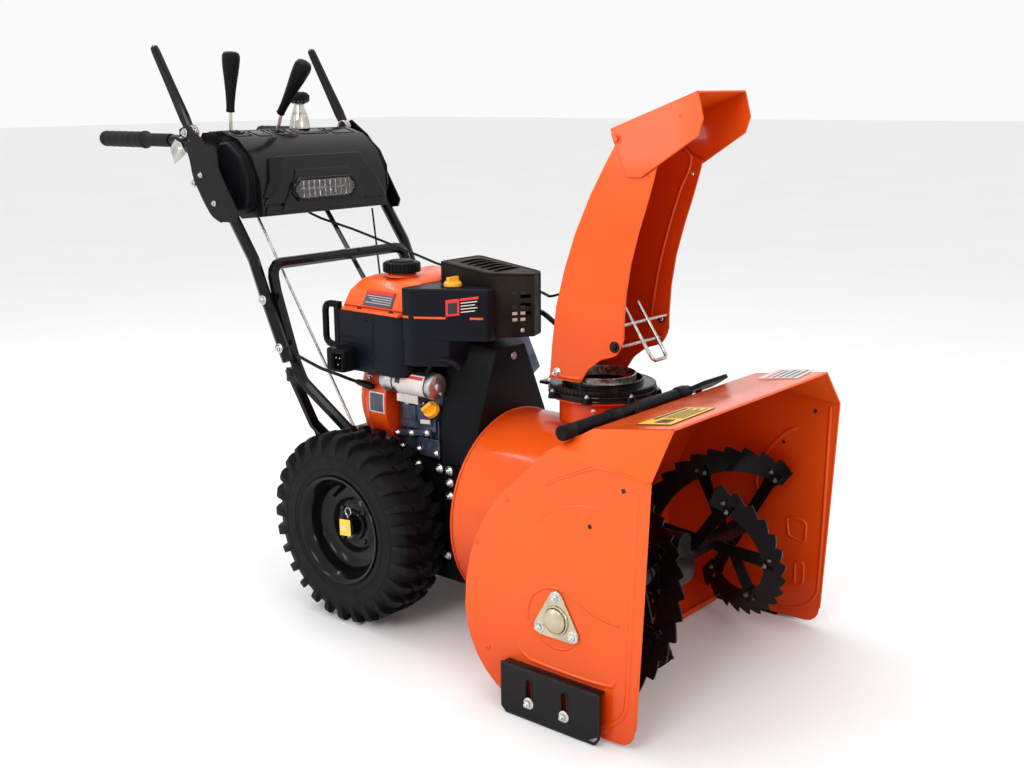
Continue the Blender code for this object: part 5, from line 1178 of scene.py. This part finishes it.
def guard_details():
    """Rounded rims, raised louvre lips and small square vents of the muffler guard, the upper vents painted shade."""
    mesh = bmesh.new()

    def top(x, y, drop=0.0):
        return at(x, y, GUARD_FRONT[1] + GUARD_RISE * (y - GUARD_FRONT[0]) - drop)
    plan = [(-0.0738, 0.3728), (0.0, 0.3194), (0.035, 0.331), (0.0428, 0.4972), (-0.0738, 0.4972)]
    line = [top(*p, 0.0016) for p in cut_corners([Vector(p) for p in plan], 0.05)]
    sweep(mesh, line, 0.0028, 10, closed=True)
    for x, y in plan[:3]:
        sweep(mesh, [at(x, y, 0.608), top(x, y, 0.003)], 0.0026, 10)
    for row in range(6):
        y = 0.372 + 0.018 * row
        sections = []
        for u in range(9):
            x = -0.05 + 0.074 * u / 8
            rise = 0.0032 * math.sin(math.pi * u / 8) ** 0.5 if 0 < u < 8 else 0.0
            sections.append([top(x, y + 0.006), top(x, y + 0.012), top(x, y + 0.0095) + Vector((0, 0, rise)),
                             top(x, y + 0.0055) + Vector((0, 0, rise + 0.0002))])
        loft(mesh, sections)
    new_piece("guard_rims", mesh, "guard_paint", "machine", 50)
    holes = pool("machine", "dark_hole")
    face_a, face_b = Vector((-0.075, 0.372)), Vector((0.0, 0.318))
    out = face_normal(face_a, face_b)
    for share in (0.52, 0.7):
        for row in range(4):
            z = 0.6385 + 0.0125 * row + (0.016 if row == 3 else 0)
            p, q = face_a.lerp(face_b, share), face_a.lerp(face_b, share + 0.11)
            corners = [at(*p, z), at(*q, z), at(*q, z + 0.0062), at(*p, z + 0.0062)]
            # painted shade: the two upper rows are dark sheets where the vents open
            target = pool("machine", "bright_wire") if row < 2 else holes
            loft(target, [[c + out.to_3d() * lift for c in corners] for lift in (-0.0002, 0.0003)])
    hex_bolt("machine", at(-0.02, 0.3316, 0.62), (-0.58, -0.81, 0), 0.008, 0.0035, False, 0.0)
    # thin link that pulls the deflector: from the guard's side to the back of the chute
    mesh = bmesh.new()
    route = [at(0.072, 0.335, 0.676), at(0.069, 0.318, 0.68), at(0.062, 0.295, 0.687), at(0.054, 0.27, 0.693),
             at(0.048, 0.252, 0.6965), at(0.045, 0.2435, 0.6975)]
    sweep(mesh, curve_through(route, 8), 0.0026, 10)
    lathe(mesh, [(0.0, 0.0), (0.005, 0.0), (0.005, 0.008), (0.0032, 0.012), (0.0, 0.012)], at(0.045, 0.2432, 0.6975),
          (0.18, 1, -0.02), 14)
    cable = free_piece("deflector_link", mesh, "cable_jacket", 40)
    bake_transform(cable)


def starter_details():
    """The motor's end caps, bolts, bands and blank sticker, its plug and its hose."""
    place = at(-0.15, 0.445, 0.5115)
    mesh = bmesh.new()
    lathe(mesh, [(0.0, -0.0016), (0.0238, -0.0014), (0.0262, 0.0004), (0.0268, 0.003), (0.0268, 0.012),
                 (0.0262, 0.013)], place, BACK, 40)
    lathe(mesh, [(0.0262, 0.105), (0.027, 0.106), (0.027, 0.133), (0.0255, 0.1392), (0.0, 0.14)], place, BACK, 40)
    lathe(mesh, [(0.0, -0.006), (0.006, -0.0058), (0.0085, -0.003), (0.0085, -0.001), (0.0, -0.001)], place, BACK, 24)
    new_piece("starter_caps", mesh, "cast_alloy", "machine", 40)
    mesh = pool("machine", "label_black")
    for y in (0.0135, 0.1035):
        lathe(mesh, [(0.0262, y), (0.0272, y + 0.0003), (0.0272, y + 0.0016), (0.0262, y + 0.002)], place, BACK, 40)
    for a in (math.radians(110), math.radians(-62)):
        spot = place + Vector((0.0185 * math.cos(a), -0.0012, 0.0185 * math.sin(a)))
        hex_bolt("machine", spot, FRONT, 0.0068, 0.0032, False, 0.0)
    for material, first, last, near, far, reach in (("label_white", 128, 232, 0.018, 0.094, 0.0266),
            ("label_black", 150, 178, 0.08, 0.094, 0.02685), ("label_red", 136, 150, 0.02, 0.078, 0.02685)):
        mesh = pool("machine", material)
        rows = []
        for k in range(13):
            a = math.radians(first + (last - first) * k / 12)
            rows.append([place + spoke("Y", r, a) + Vector((0, y, 0)) for r, y in ((0.0255, near), (reach, near),
                    (reach, far), (0.0255, far))])
        loft(mesh, rows)
    # the lead's plug on the motor and the arch of its hose
    mesh = bmesh.new()
    sections = []
    for t, w, h in ((0.0, 0.0055, 0.0055), (0.01, 0.0085, 0.0065), (0.03, 0.009, 0.0075), (0.042, 0.008, 0.0065),
                    (0.047, 0.006, 0.005)):
        centre = at(-0.169, 0.656, 0.4965) + Vector((0.012, -0.98, -0.1)).normalized() * t
        sections.append([centre + Vector((w * c.x, 0, h * c.z)) for c in circle(Vector(), 1, "Y", 16)])
    loft(mesh, sections)
    new_piece("lead_plug", mesh, "cable_jacket", "machine", 40)
    mesh = bmesh.new()
    hose = curve_through([at(-0.15, 0.474, 0.533), at(-0.15, 0.464, 0.549), at(-0.15, 0.449, 0.5625),
                          at(-0.148, 0.4265, 0.568), at(-0.144, 0.404, 0.564), at(-0.139, 0.394, 0.553)], 6)
    sweep(mesh, hose, 0.0058, 12)
    for k in range(0, len(hose) - 2, 2):
        along = (hose[k + 1] - hose[k]).normalized()
        lathe(mesh, [(0.0056, -0.0012), (0.0066, -0.0006), (0.0066, 0.0006), (0.0056, 0.0012)], hose[k], along, 14)
    new_piece("starter_hose", mesh, "cable_jacket", "machine", 50)


def crankcase_details():
    """Side cover, flange bolts, bracket, fins and small castings in the gap beside the engine."""
    mesh = bmesh.new()
    x = -0.1122
    # blocks (behind, low, behind, high, how far it stands out)
    for y0, z0, y1, z1, depth in ((0.478, 0.405, 0.578, 0.462, 0.012), (0.484, 0.418, 0.52, 0.456, 0.018),
            (0.47, 0.35, 0.582, 0.39, 0.01), (0.53, 0.424, 0.566, 0.456, 0.016)):
        prism(mesh, [(rear(y0), z0), (rear(y1), z0), (rear(y1), z1), (rear(y0), z1)], "X", x - depth, x + 0.004)
    prism(mesh, [(rear(0.486), 0.399), (rear(0.592), 0.384), (rear(0.592), 0.396), (rear(0.486), 0.411)], "X",
          -0.132, x)
    for k in range(5):
        prism(mesh, [(rear(0.472 + 0.022 * k), 0.39), (rear(0.475 + 0.022 * k), 0.39), (rear(0.475 + 0.022 * k), 0.456),
                     (rear(0.472 + 0.022 * k), 0.456)], "X", x - 0.008, x + 0.002)
    round_edges(new_piece("crankcase_castings", mesh, "engine_grey", "machine", 40), 0.0018, 3)
    mesh = bmesh.new()
    lathe(mesh, [(0.0, 0.0), (0.015, 0.0), (0.015, 0.012), (0.012, 0.016), (0.012, 0.024), (0.0, 0.024)],
          at(-0.112, 0.546, 0.47), (-1, 0, 0), 28)
    lathe(mesh, [(0.0, 0.0), (0.0085, 0.0), (0.0085, 0.02), (0.0065, 0.026), (0.0, 0.026)], at(-0.112, 0.512, 0.474),
          (-1, 0, 0.25), 20)
    sweep(mesh, curve_through([at(-0.138, 0.546, 0.47), at(-0.142, 0.53, 0.476), at(-0.139, 0.514, 0.476),
            at(-0.132, 0.5, 0.466)], 6), 0.0036, 10)
    new_piece("fuel_fittings", mesh, "cast_alloy", "machine", 40)
    for y, z in ((0.496, 0.402), (0.54, 0.395), (0.58, 0.3895), (0.478, 0.36), (0.574, 0.36), (0.526, 0.362)):
        hex_bolt("machine", at(-0.1242 if z < 0.37 else -0.1322, y, z + 0.001), (-1, 0, 0), 0.009, 0.0045, True, 0.0)
    plate_corners = at_x(-0.1314, ((0.513, 0.43), (0.486, 0.4325), (0.486, 0.424), (0.513, 0.4215)))
    patch("machine", "label_white", plate_corners, 0.0004)
    # left side: fins of the leaning cylinder, square-round in outline
    mesh = bmesh.new()
    axis = Vector((math.sin(math.radians(62)), 0, math.cos(math.radians(62))))
    base, across = at(0.05, 0.5225, 0.476), Vector(BACK)
    ring = []
    for a in (2 * math.pi * i / 40 for i in range(40)):
        wide, deep = (math.copysign(abs(share) ** 0.6, share) for share in (math.cos(a), math.sin(a)))
        ring.append(across * 0.057 * wide + axis.cross(across) * 0.045 * deep)
    for k in range(7):
        centre = base + axis * (0.004 + 0.0105 * k)
        loft(mesh, [[centre + p for p in ring], [centre + axis * 0.0026 + p for p in ring]])
    new_piece("cylinder_fins", mesh, "cast_alloy", "machine", 40)


FAN_X, FAN_Z = -0.01, 0.455


def fan_details():
    """Recoil starter: rolled edge, bolts, blank sticker and the round grille on the rear face, its openings painted
    shade.
    """
    mesh = bmesh.new()
    centre = at(FAN_X, 0.0, FAN_Z)

    def on_face(points, angle):
        return [centre + spoke("Y", radius, angle) + Vector((0, y, 0)) for radius, y in points]
    for radius, y, size in ((0.1472, 0.6362, 0.0026), (0.0975, 0.6898, 0.003), (0.0485, 0.69, 0.0024)):
        ring_bar(mesh, centre + Vector((0, y, 0)), radius, "Y", 72, size)
    for k in range(12):
        a = 2 * math.pi * k / 12
        slope = spoke("Y", 0.27, a) + Vector((0, 0.96, 0))
        bead(mesh, on_face([(r, 0.69) for r in (0.05, 0.062, 0.074, 0.086, 0.097)], a), BACK, 0.009, 0.0028)
        bead(mesh, on_face([(0.1, 0.6896), (0.108, 0.6874), (0.117, 0.6848), (0.125, 0.6824)], a), slope, 0.014, 0.0022)
    lathe(mesh, [(0.0, 0.6955), (0.03, 0.6955), (0.0285, 0.6985), (0.0, 0.7)], centre, BACK, 40)
    new_piece("recoil_ribs", mesh, "orange_plastic", "machine", 50)
    # painted shade: dark sheets on the rear face where the grille's openings are
    mesh = pool("machine", "dark_hole")
    for k in range(12):
        for near, far, half in ((0.054, 0.07, 0.0055), (0.074, 0.092, 0.0085)):
            a = 2 * math.pi * (k + 0.5) / 12
            out, over = spoke("Y", 1, a), spoke("Y", 1, a + math.pi / 2)
            corners = [centre + out * r + over * s + Vector((0, 0.69, 0)) for r, s in ((near, -half), (near, half),
                    (far, half * 1.35), (far, -half * 1.35))]
            loft(mesh, [[c + Vector((0, lift, 0)) for c in corners] for lift in (-0.0002, 0.0005)])
    for k in range(4):
        a = math.radians(45 + 90 * k)
        slope = spoke("Y", 0.27, a) + Vector((0, 0.96, 0))
        hex_bolt("machine", *on_face([(0.115, 0.6852)], a), slope, 0.0095, 0.0045, True, 0.0)
    for y, z, radius in ((0.674, 0.516, 0.1324), (0.64, 0.508, 0.147)):
        angle = math.asin((z - FAN_Z) / radius)
        hex_bolt("machine", at(FAN_X - radius * math.cos(angle), y, z), (-math.cos(angle), 0, math.sin(angle)), 0.0085,
                 0.0045, True, 0.003)
    for material, first, last, near, far, reach in (("label_white", 172.0, 189.0, 0.59, 0.634, 0.1486),
            ("label_slate", 173.2, 187.8, 0.593, 0.631, 0.14895)):
        mesh = pool("machine", material)
        rows = []
        for k in range(7):
            a = math.radians(first + (last - first) * k / 6)
            rows.append(on_face([(0.1478, near), (reach, near), (reach, far), (0.1478, far)], -a))
        loft(mesh, rows)


def belt_cover_details():
    """A pressed rib and three bolts on the cover's front."""
    mesh = bmesh.new()
    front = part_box("belt_cover")[0].y
    bead(mesh, [Vector((-0.1 + 0.2 * t / 8, front - 0.0001, 0.36)) for t in range(9)], FRONT, 0.01, 0.002)
    new_piece("belt_cover_rib", mesh, "cover_plastic", "machine", 50)
    for x, z in ((-0.092, 0.362), (0.092, 0.362), (0.0, 0.56)):
        hex_bolt("machine", Vector((x, front - 0.0002, z)), FRONT, 0.009, 0.004, True, 0.0)


def starter_box_details():
    """Rim and pins of the starter's inlet socket."""
    mesh = bmesh.new()
    y0, y1, z0, z1 = 0.6335, 0.6665, 0.5305, 0.5695
    rim_line = at_x(-0.2284, ((y0, z0), (y1, z0), (y1, z1), (y0, z1)))
    sweep(mesh, cut_corners(rim_line, 0.1), 0.0022, 8, closed=True)
    new_piece("inlet_frame", mesh, "black_plastic", "machine", 50)
    for y, z in ((0.645, 0.557), (0.655, 0.557), (0.65, 0.543)):
        sweep(pool("machine", "zinc"), [at(-0.2195, y, z), at(-0.2265, y, z)], 0.0016, 8)


# ------------------------------------------------------------------ dash and handles
GATE_MARKS = [1.022 + 0.0095 * k for k in range(7)]
DASH_SIDE = [(0.913, 0.826), (0.916, 0.9), (0.94, 0.952), (0.985, 0.99), (1.035, 1.004), (1.108, 1.001)]


def dash_y(z):
    """Where the dash's front stands at a height."""
    for (y0, z0), (y1, z1) in zip(DASH_SIDE, DASH_SIDE[1:4]):
        if z <= z1:
            return y0 + (y1 - y0) * (z - z0) / (z1 - z0)
    return DASH_SIDE[3][0]


def dash_band(mesh, sides, low, high, proud):
    """A raised band on the dash's front between two slanting edges, each a line (x at low, x at high)."""
    (left_low, left_high), (right_low, right_high) = sides
    bend = DASH_SIDE[1][1]
    heights = [low, bend, high]
    sections = []
    for z in heights:
        share = (z - low) / (high - low)
        y = rear(dash_y(z))
        lift = Vector((0, -proud, proud * (0.02 if z < bend else 0.3)))
        x0, x1 = left_low + (left_high - left_low) * share, right_low + (right_high - right_low) * share
        sections.append([Vector((x0, y + 0.001, z)), Vector((x0 + 0.002, y, z)) + lift,
                         Vector((x1 - 0.002, y, z)) + lift, Vector((x1, y + 0.001, z))])
    loft(mesh, sections)


def dash_details():
    """Mouldings on the dash's front, top and ends."""
    for name, finish, sides, low, high, proud, edge, steps in (
            ("dash_front", "dash_plastic", ((-0.183, -0.1265), (0.183, 0.12)), 0.85, 0.9505, 0.0055, 0.003, 4),
            ("dash_boss", "dash_plastic", ((-0.139, -0.088), (0.111, 0.0744)), 0.836, 0.92, 0.0098, 0.0026, 4),
            ("dash_groove", "black_gloss", ((-0.1815, -0.1475), (-0.156, -0.105)), 0.866, 0.948, 0.0072, 0.0012, 3)):
        mesh = bmesh.new()
        dash_band(mesh, sides, low, high, proud)
        round_edges(new_piece(name, mesh, finish, "machine", 40), edge, steps, 40)
    # lower lip below the lamp
    mesh = bmesh.new()
    prism(mesh, [(-0.18, 0.8262), (0.18, 0.8262), (0.174, 0.846), (-0.174, 0.846)], "Y", rear(0.913), rear(0.9085))
    round_edges(new_piece("dash_lip", mesh, "dash_plastic", "machine", 40), 0.002, 3, 40)

    # panels pressed into the top, the lever gates and their number ridges
    def top(x, y, lift=0.0):
        (front, low), (crest, high) = DASH_SIDE[3:5]
        z = low + (y - front) * 0.28 if y < crest else high - (y - crest) * 0.041
        return at(x, y, z + lift)
    mesh = bmesh.new()
    for x0, x1, y0, y1 in ((-0.1785, -0.1315, 1.0, 1.098), (-0.064, -0.016, 1.0, 1.098), (-0.118, -0.078, 0.995, 1.098),
                           (0.006, 0.09, 0.998, 1.1), (0.103, 0.17, 0.995, 1.1)):
        corners = [Vector(p) for p in ((x0, y0), (x1, y0), (x1, 1.035), (x1, y1), (x0, y1), (x0, 1.035))]
        line = [top(*p, 0.0002) for p in cut_corners(corners, 0.08)]
        sweep(mesh, line, 0.0018, 8, closed=True)
    for x in (SPEED_X, DEFLECTOR_X):
        line = [top(x + dx, y, 0.0004) for dx, y in ((-0.0092, 1.017), (0.0092, 1.017), (0.0092, 1.035),
                (0.0092, 1.083), (-0.0092, 1.083), (-0.0092, 1.035))]
        sweep(mesh, line, 0.0024, 8, closed=True)
        for y in GATE_MARKS:
            sweep(mesh, [top(x + 0.0125, y, 0.0), top(x + 0.0195, y, 0.0)], 0.0012, 6)
    new_piece("dash_top_ribs", mesh, "dash_plastic", "machine", 50)
    mesh = pool("machine", "label_white")
    for y in GATE_MARKS:
        corners = [top(-0.1315 + a * 0.003, y + b * 0.0016, 0.0006) for a, b in CORNERS]
        loft(mesh, [corners, [c + Vector((0, 0, 0.0004)) for c in corners]])

    # ribbed ends between the dash and its steel cheeks
    for side, word in SIDES:
        outline = [(1.03, 0.968), (1.02, 0.982), (0.994, 0.984), (0.954, 0.955), (0.931, 0.917), (0.929, 0.868),
                   (0.938, 0.846), (0.962, 0.834), (0.991, 0.828), (1.025, 0.845)]
        mesh = bmesh.new()
        reach = ((0.1855, 1.0), (0.1905, 1.0), (0.1915, 0.955), (0.1945, 0.955), (0.1955, 1.0), (0.1985, 1.0),
                 (0.1995, 0.955), (0.2025, 0.955), (0.2035, 1.0), (0.2065, 1.0), (0.2115, 0.93))
        sections = []
        for x, share in reach:
            sections.append([at(side * x, 0.982 + (y - 0.982) * share, 0.908 + (z - 0.908) * share)
                             for y, z in outline])
        loft(mesh, sections)
        new_piece("dash_end_" + word, mesh, "black_plastic", "machine", 40)


LAMP_COLUMNS = 10


def cell_corner(column, row):
    """Lower corner of one cell of the headlight's reflector, as x and height."""
    return -0.0905 + 0.0155 * column, 0.8615 + 0.018 * row


def headlight_details():
    """Bezel, faceted reflector and clear lens, standing where the lamp blank was."""
    def oct_line(grow, y, tilt=0.0):
        half, low, high, corner = 0.09 + grow, 0.8565 - grow, 0.901 + grow, 0.015
        pts = [(-half, low + corner), (-half + corner, low), (half - corner, low), (half, low + corner),
               (half, high - corner), (half - corner, high), (-half + corner, high), (-half, high - corner)]
        return [at(x - 0.0145, y, z) for x, z in pts]
    mesh = bmesh.new()
    rings = [oct_line(0.003, 0.9125), oct_line(0.003, 0.901), oct_line(0.0012, 0.8985), oct_line(-0.0022, 0.8985),
             oct_line(-0.0034, 0.908), oct_line(-0.0034, 0.9125)]
    rings.append(rings[0])
    loft(mesh, rings, caps=False)
    bezel = new_piece("headlight_bezel", mesh, "black_gloss", "machine", 40)
    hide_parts("headlight")
    mesh = bmesh.new()
    back = oct_line(-0.003, 0.91)
    loft(mesh, [oct_line(-0.003, 0.9122), back])
    for column in range(LAMP_COLUMNS):
        for row in range(2):
            x0, z0 = cell_corner(column, row)
            x1, z1 = x0 + 0.015, z0 + 0.0172
            if column == 0:
                x0 += 0.004
            elif column == LAMP_COLUMNS - 1:
                x1 -= 0.004
            mx, mz = (x0 + x1) / 2, (z0 + z1) / 2
            cell = ((x0, z0), (x1, z0), (x1, z1), (x0, z1))
            loft(mesh, [[at(mx + (x - mx) * share, y, mz + (z - mz) * share) for x, z in cell]
                        for y, share in ((0.91, 1), (0.904, 1), (0.9092, 0.25))])
    new_piece("headlight_reflector", mesh, "lamp_reflector", "machine", 12)
    mesh = bmesh.new()
    for column in range(LAMP_COLUMNS):
        for row in range(2):
            x, z = cell_corner(column, row)
            lathe(mesh, [(0.0, 0.0016), (0.0014, 0.0012), (0.0018, 0.0), (0.0018, -0.0006), (0.0, -0.0006)],
                  at(x + 0.0075, 0.9088, z + 0.0086), FRONT, 12)
    new_piece("headlight_leds", mesh, "led_yellow", "machine", 40)
    mesh = bmesh.new()
    loft(mesh, [oct_line(-0.0026, 0.901), oct_line(-0.0026, 0.9), oct_line(-0.0045, 0.8994)])
    new_piece("headlight_lens", mesh, "lamp_lens", "machine", 25)


SPRING_HALF_TURNS = 7


LEVER_PIVOT = (1.092, 1.003)


def handle_details():
    """Turned grips, cheek and pivot plates, bolts, lever springs and cable adjusters."""
    for side, word in SIDES:
        out = (side, 0, 0)
        mesh = bmesh.new()
        place = at(side * 0.23, 1.16, 0.985)
        profile = [(0.0128, 0.0), (0.0142, 0.0), (0.0148, 0.002), (0.0146, 0.088), (0.016, 0.093), (0.0196, 0.097),
                   (0.02, 0.1), (0.0192, 0.104), (0.0178, 0.1075)]
        for k in range(5):
            start = 0.112 + 0.0252 * k
            profile += [(0.0171, start), (0.0177, start + 0.0022), (0.0181, start + 0.012), (0.0177, start + 0.0225)]
        profile += [(0.0166, 0.2425), (0.018, 0.245), (0.018, 0.252), (0.0172, 0.2575), (0.015, 0.26), (0.0, 0.2605)]
        lathe(mesh, profile, place, BACK, 40)
        lathe(mesh, [(0.0, 0.248), (0.0128, 0.248), (0.0128, 0.0)], place, BACK, 40)
        obj = new_piece("grip_detail_" + word, mesh, "grip_foam", "machine", 45)
        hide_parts("grip_" + word)
        for y, z in ((1.043, 0.9137), (1.0014, 0.8548), (1.0705, 0.8956)):
            if side < 0 or y < 1.06:
                hex_bolt("machine", at(side * 0.2408, y, z), out, 0.012, 0.0055, True, 0.004)
        cheek = [(0.932, 0.817), (0.985, 0.8155), (1.014, 0.828), (1.036, 0.852), (1.058, 0.884), (1.073, 0.912),
                 (1.082, 0.948), (1.098, 0.984), (1.07, 0.986), (1.03, 0.975), (1.0, 0.94), (0.96, 0.87)]
        mesh = bmesh.new()
        prism(mesh, [(rear(y), z) for y, z in cheek], "X", *sorted((side * 0.2402, side * 0.2432)))
        sweep(mesh, curve_through(at_x(side * 0.2417, cheek[1:8]), 4), 0.0026, 8)
        round_edges(new_piece("cheek_" + word, mesh, "black_gloss", "machine", 40), 0.0007, 2)
        for y, z in ((0.8622, 0.6578), (0.8158, 0.5591)):
            hex_bolt("machine", at(side * 0.24, y, z), out, 0.012, 0.0055, True, 0.003)
        mesh = bmesh.new()
        prism(mesh, [(rear(y), z) for y, z in ((1.147, 0.969), (1.128, 0.988), (1.108, 0.981), (1.0905, 0.958),
                (1.134, 0.934))], "X", *sorted((side * 0.244, side * 0.2452)))
        lathe(mesh, [(0.0, 0.0), (0.0095, 0.0), (0.0095, 0.003), (0.007, 0.005), (0.0, 0.0055)],
              at(side * 0.2445, 1.116, 0.966), out, 24)
        new_piece("pivot_plate_" + word, mesh, "zinc", "machine", 40)
        hex_bolt("machine", at(side * 0.2445, *LEVER_PIVOT), out, 0.011, 0.005, True, 0.003)
        # return spring of the clutch lever
        mesh = bmesh.new()
        points = [at(side * (0.216 + 0.00414 * k / 14), *LEVER_PIVOT) + spoke("X", 0.015, 2 * math.pi * k / 14)
                  for k in range(SPRING_HALF_TURNS * 7 + 1)]
        sweep(mesh, points, 0.0013, 8)
        new_piece("lever_spring_" + word, mesh, "bright_wire", "machine", 60)
        # cable end: barrel nut and adjuster
        mesh = bmesh.new()
        place, along = at(side * 0.214, 1.05, 0.93), (0, -0.35, -0.9)
        lathe(mesh, [(0.0, 0.0), (0.0048, 0.0), (0.0048, 0.024), (0.003, 0.027), (0.0, 0.027)], place, along, 16)
        disc(mesh, 0.007, 0.006, 0.01, place, along, 6)
        new_piece("cable_adjuster_" + word, mesh, "zinc", "machine", 30)


SPEED_X, DEFLECTOR_X, CRANK_X = -0.155, -0.04, 0.046


def control_details():
    """Stems and turned knobs of the two levers, the crank's cap and its chrome boss."""
    for name, x, foot, top in (("speed_lever", SPEED_X, (1.045, 1.045), (1.031, 1.174)),
            ("deflector_lever", DEFLECTOR_X, (1.015, 1.04), (0.924, 1.15))):
        base = at(x, 1.05, 0.952)
        start, end = at(x, *foot), at(x, *top)
        along = (end - start).normalized()
        length = (end - start).length
        mesh = bmesh.new()
        sweep(mesh, [base, start.lerp(end, 0.1)], 0.0038, 16)
        lathe(mesh, [(0.0, -0.012), (0.0078, -0.012), (0.008, -0.011), (0.008, 0.011), (0.0078, 0.012), (0.0, 0.012)],
              base, (1, 0, 0), 24)
        stem = new_piece(name + "_stem", mesh, "bright_wire", name, 40)
        mesh = bmesh.new()
        lathe(mesh, [(0.0, 0.0), (0.0082, 0.0), (0.0096, 0.0016), (0.009, 0.008), (0.0094, length * 0.16),
                     (0.0114, length * 0.34), (0.0148, length * 0.55), (0.0182, length * 0.74), (0.0196, length * 0.87),
                     (0.0192, length * 0.93), (0.0165, length * 0.975), (0.01, length * 0.995), (0.0, length)], start,
              along, 40)
        knob = new_piece(name + "_knob", mesh, "black_plastic", name, 60)
        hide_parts(name)
        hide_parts(name)
    mesh = bmesh.new()
    place = at(CRANK_X, 1.05, 0.0)
    profile = [(0.0, 1.0878), (0.014, 1.0872), (0.0205, 1.0848), (0.024, 1.08), (0.0244, 1.07), (0.0225, 1.064),
               (0.015, 1.061), (0.01, 1.0605)]
    lathe(mesh, profile, place, UP, 48)
    for k in range(12):
        sweep(mesh, [place + spoke("Z", r, 2 * math.pi * k / 12) + Vector((0, 0, z)) for r, z in ((0.0236, 1.0675),
                (0.024, 1.08))], 0.0018, 8)
    new_piece("crank_cap", mesh, "black_plastic", "chute_crank", 50)
    mesh = bmesh.new()
    lathe(mesh, [(0.01, 1.06), (0.0112, 1.056), (0.0125, 1.05), (0.0165, 1.04), (0.02, 1.029), (0.0222, 1.018),
                 (0.0232, 1.0095), (0.0232, 1.005)], place, UP, 48)
    new_piece("crank_boss", mesh, "bright_wire", "chute_crank", 60)


# ------------------------------------------------------------------ everything together
NODE_PAINT = {
    "orange_paint": ("bucket_wrap", "side_plate_right", "side_plate_left", "impeller_drum", "outlet_neck",
                     "chute_body", "chute_deflector", "fan_housing"),
    "orange_plastic": ("fuel_tank",),
    "black_gloss": ("skid_shoe_right", "skid_shoe_left", "chute_base_ring", "chute_ring", "chassis_frame",
                    "lower_handle", "upper_handle_right", "upper_handle_left", "dash_plate_right", "dash_plate_left",
                    "chute_control_rod", "clutch_lever_right", "clutch_lever_left"),
    "black_plastic": ("belt_cover", "starter_box", "clean_out_tool", "fuel_cap", "recoil_grip"),
    "dash_plastic": ("dash_panel",),
    "guard_paint": ("muffler_guard",),
    "auger_paint": ("gearbox_housing", "impeller"),
    "zinc": ("shift_rod", "chute_crank", "axle"),
    "bearing_zinc": ("auger_bearing_right", "auger_bearing_left"),
    "engine_grey": ("engine_block",),
    "motor_steel": ("starter_motor",),
    "worn_steel": ("crankshaft", "impeller_shaft", "auger_shaft"),
    "yellow_plastic": ("choke_knob", "oil_cap"),
}
BY_SLOT = {"orange_paint": "orange_paint", "orange_plastic": "orange_plastic", "black_paint": "black_gloss",
           "black_plastic": "black_plastic", "grip_rubber": "grip_foam", "tyre_rubber": "tyre_rubber",
           "cable_jacket": "cable_jacket", "zinc": "zinc", "cast_alloy": "cast_alloy",
           "yellow_plastic": "yellow_plastic", "lamp_lens": "lamp_lens"}


def smooth_cad(objects):
    """One node group that welds a CAD mesh and shades it smooth except along its real edges."""
    group = bpy.data.node_groups.new("soft_shading", "GeometryNodeTree")
    group.interface.new_socket("Geometry", in_out="INPUT", socket_type="NodeSocketGeometry")
    group.interface.new_socket("Geometry", in_out="OUTPUT", socket_type="NodeSocketGeometry")
    make, link = group.nodes.new, group.links.new
    start, end = make("NodeGroupInput"), make("NodeGroupOutput")
    weld = make("GeometryNodeMergeByDistance")
    weld.inputs["Distance"].default_value = 2e-6
    drop = make("GeometryNodeRemoveAttribute")
    drop.inputs["Name"].default_value = "custom_normal"
    faces, edges = make("GeometryNodeSetShadeSmooth"), make("GeometryNodeSetShadeSmooth")
    faces.domain, edges.domain = "FACE", "EDGE"
    angle, less = make("GeometryNodeInputMeshEdgeAngle"), make("FunctionNodeCompare")
    less.operation = "LESS_THAN"
    less.inputs[1].default_value = math.radians(36)
    link(start.outputs[0], drop.inputs["Geometry"])
    link(drop.outputs[0], weld.inputs["Geometry"])
    link(weld.outputs[0], faces.inputs["Geometry"])
    link(faces.outputs[0], edges.inputs["Geometry"])
    link(angle.outputs["Unsigned Angle"], less.inputs[0])
    link(less.outputs[0], edges.inputs["Shade Smooth"])
    link(edges.outputs[0], end.inputs[0])
    for obj in objects:
        obj.modifiers.new("soft_shading", "NODES").node_group = group


def dress_cad():
    """Gives each CAD node the material named for it, or else the one that stands for its slot."""
    finish = {node: material for material, nodes in NODE_PAINT.items() for node in nodes}
    for obj in NODES.values():
        material = finish.get(obj.name)
        if material is None:
            used = obj.material_slots[0].material if obj.material_slots else None
            material = BY_SLOT.get(used.name.split(".")[0] if used else "black_paint", "black_gloss")
            if "cable" in obj.name or "lead" in obj.name:
                material = "cable_jacket"
        obj.data.materials.clear()
        obj.data.materials.append(MATERIALS[material])
    smooth_cad(NODES.values())


make_materials()
make_camera()
make_light()
make_floor()
dress_cad()

for side, word in SIDES:
    for detail in (plate_ribs, facet_creases, detailed_auger, tyre, rim):
        detail(side, word)
for detail in (hem_edges, bucket_labels, bucket_bolts, skid_details, gearbox_details, chute_details, deflector_details,
               outlet_details, clean_out_details, chassis_details, engine_cover, tank_details, guard_details,
               starter_details, crankcase_details, fan_details, belt_cover_details, starter_box_details, dash_details,
               headlight_details, handle_details, control_details):
    detail()
for (body, material), mesh in POOLS.items():
    new_piece("fasteners_" + body + "_" + material, mesh, material, body, 35)
for obj in bpy.context.scene.objects:
    if obj.type == "MESH" and obj.name not in NODES and obj.data.materials and obj.data.materials[0]:
        material = obj.data.materials[0].name

bpy.context.scene.view_settings.view_transform = "Standard"
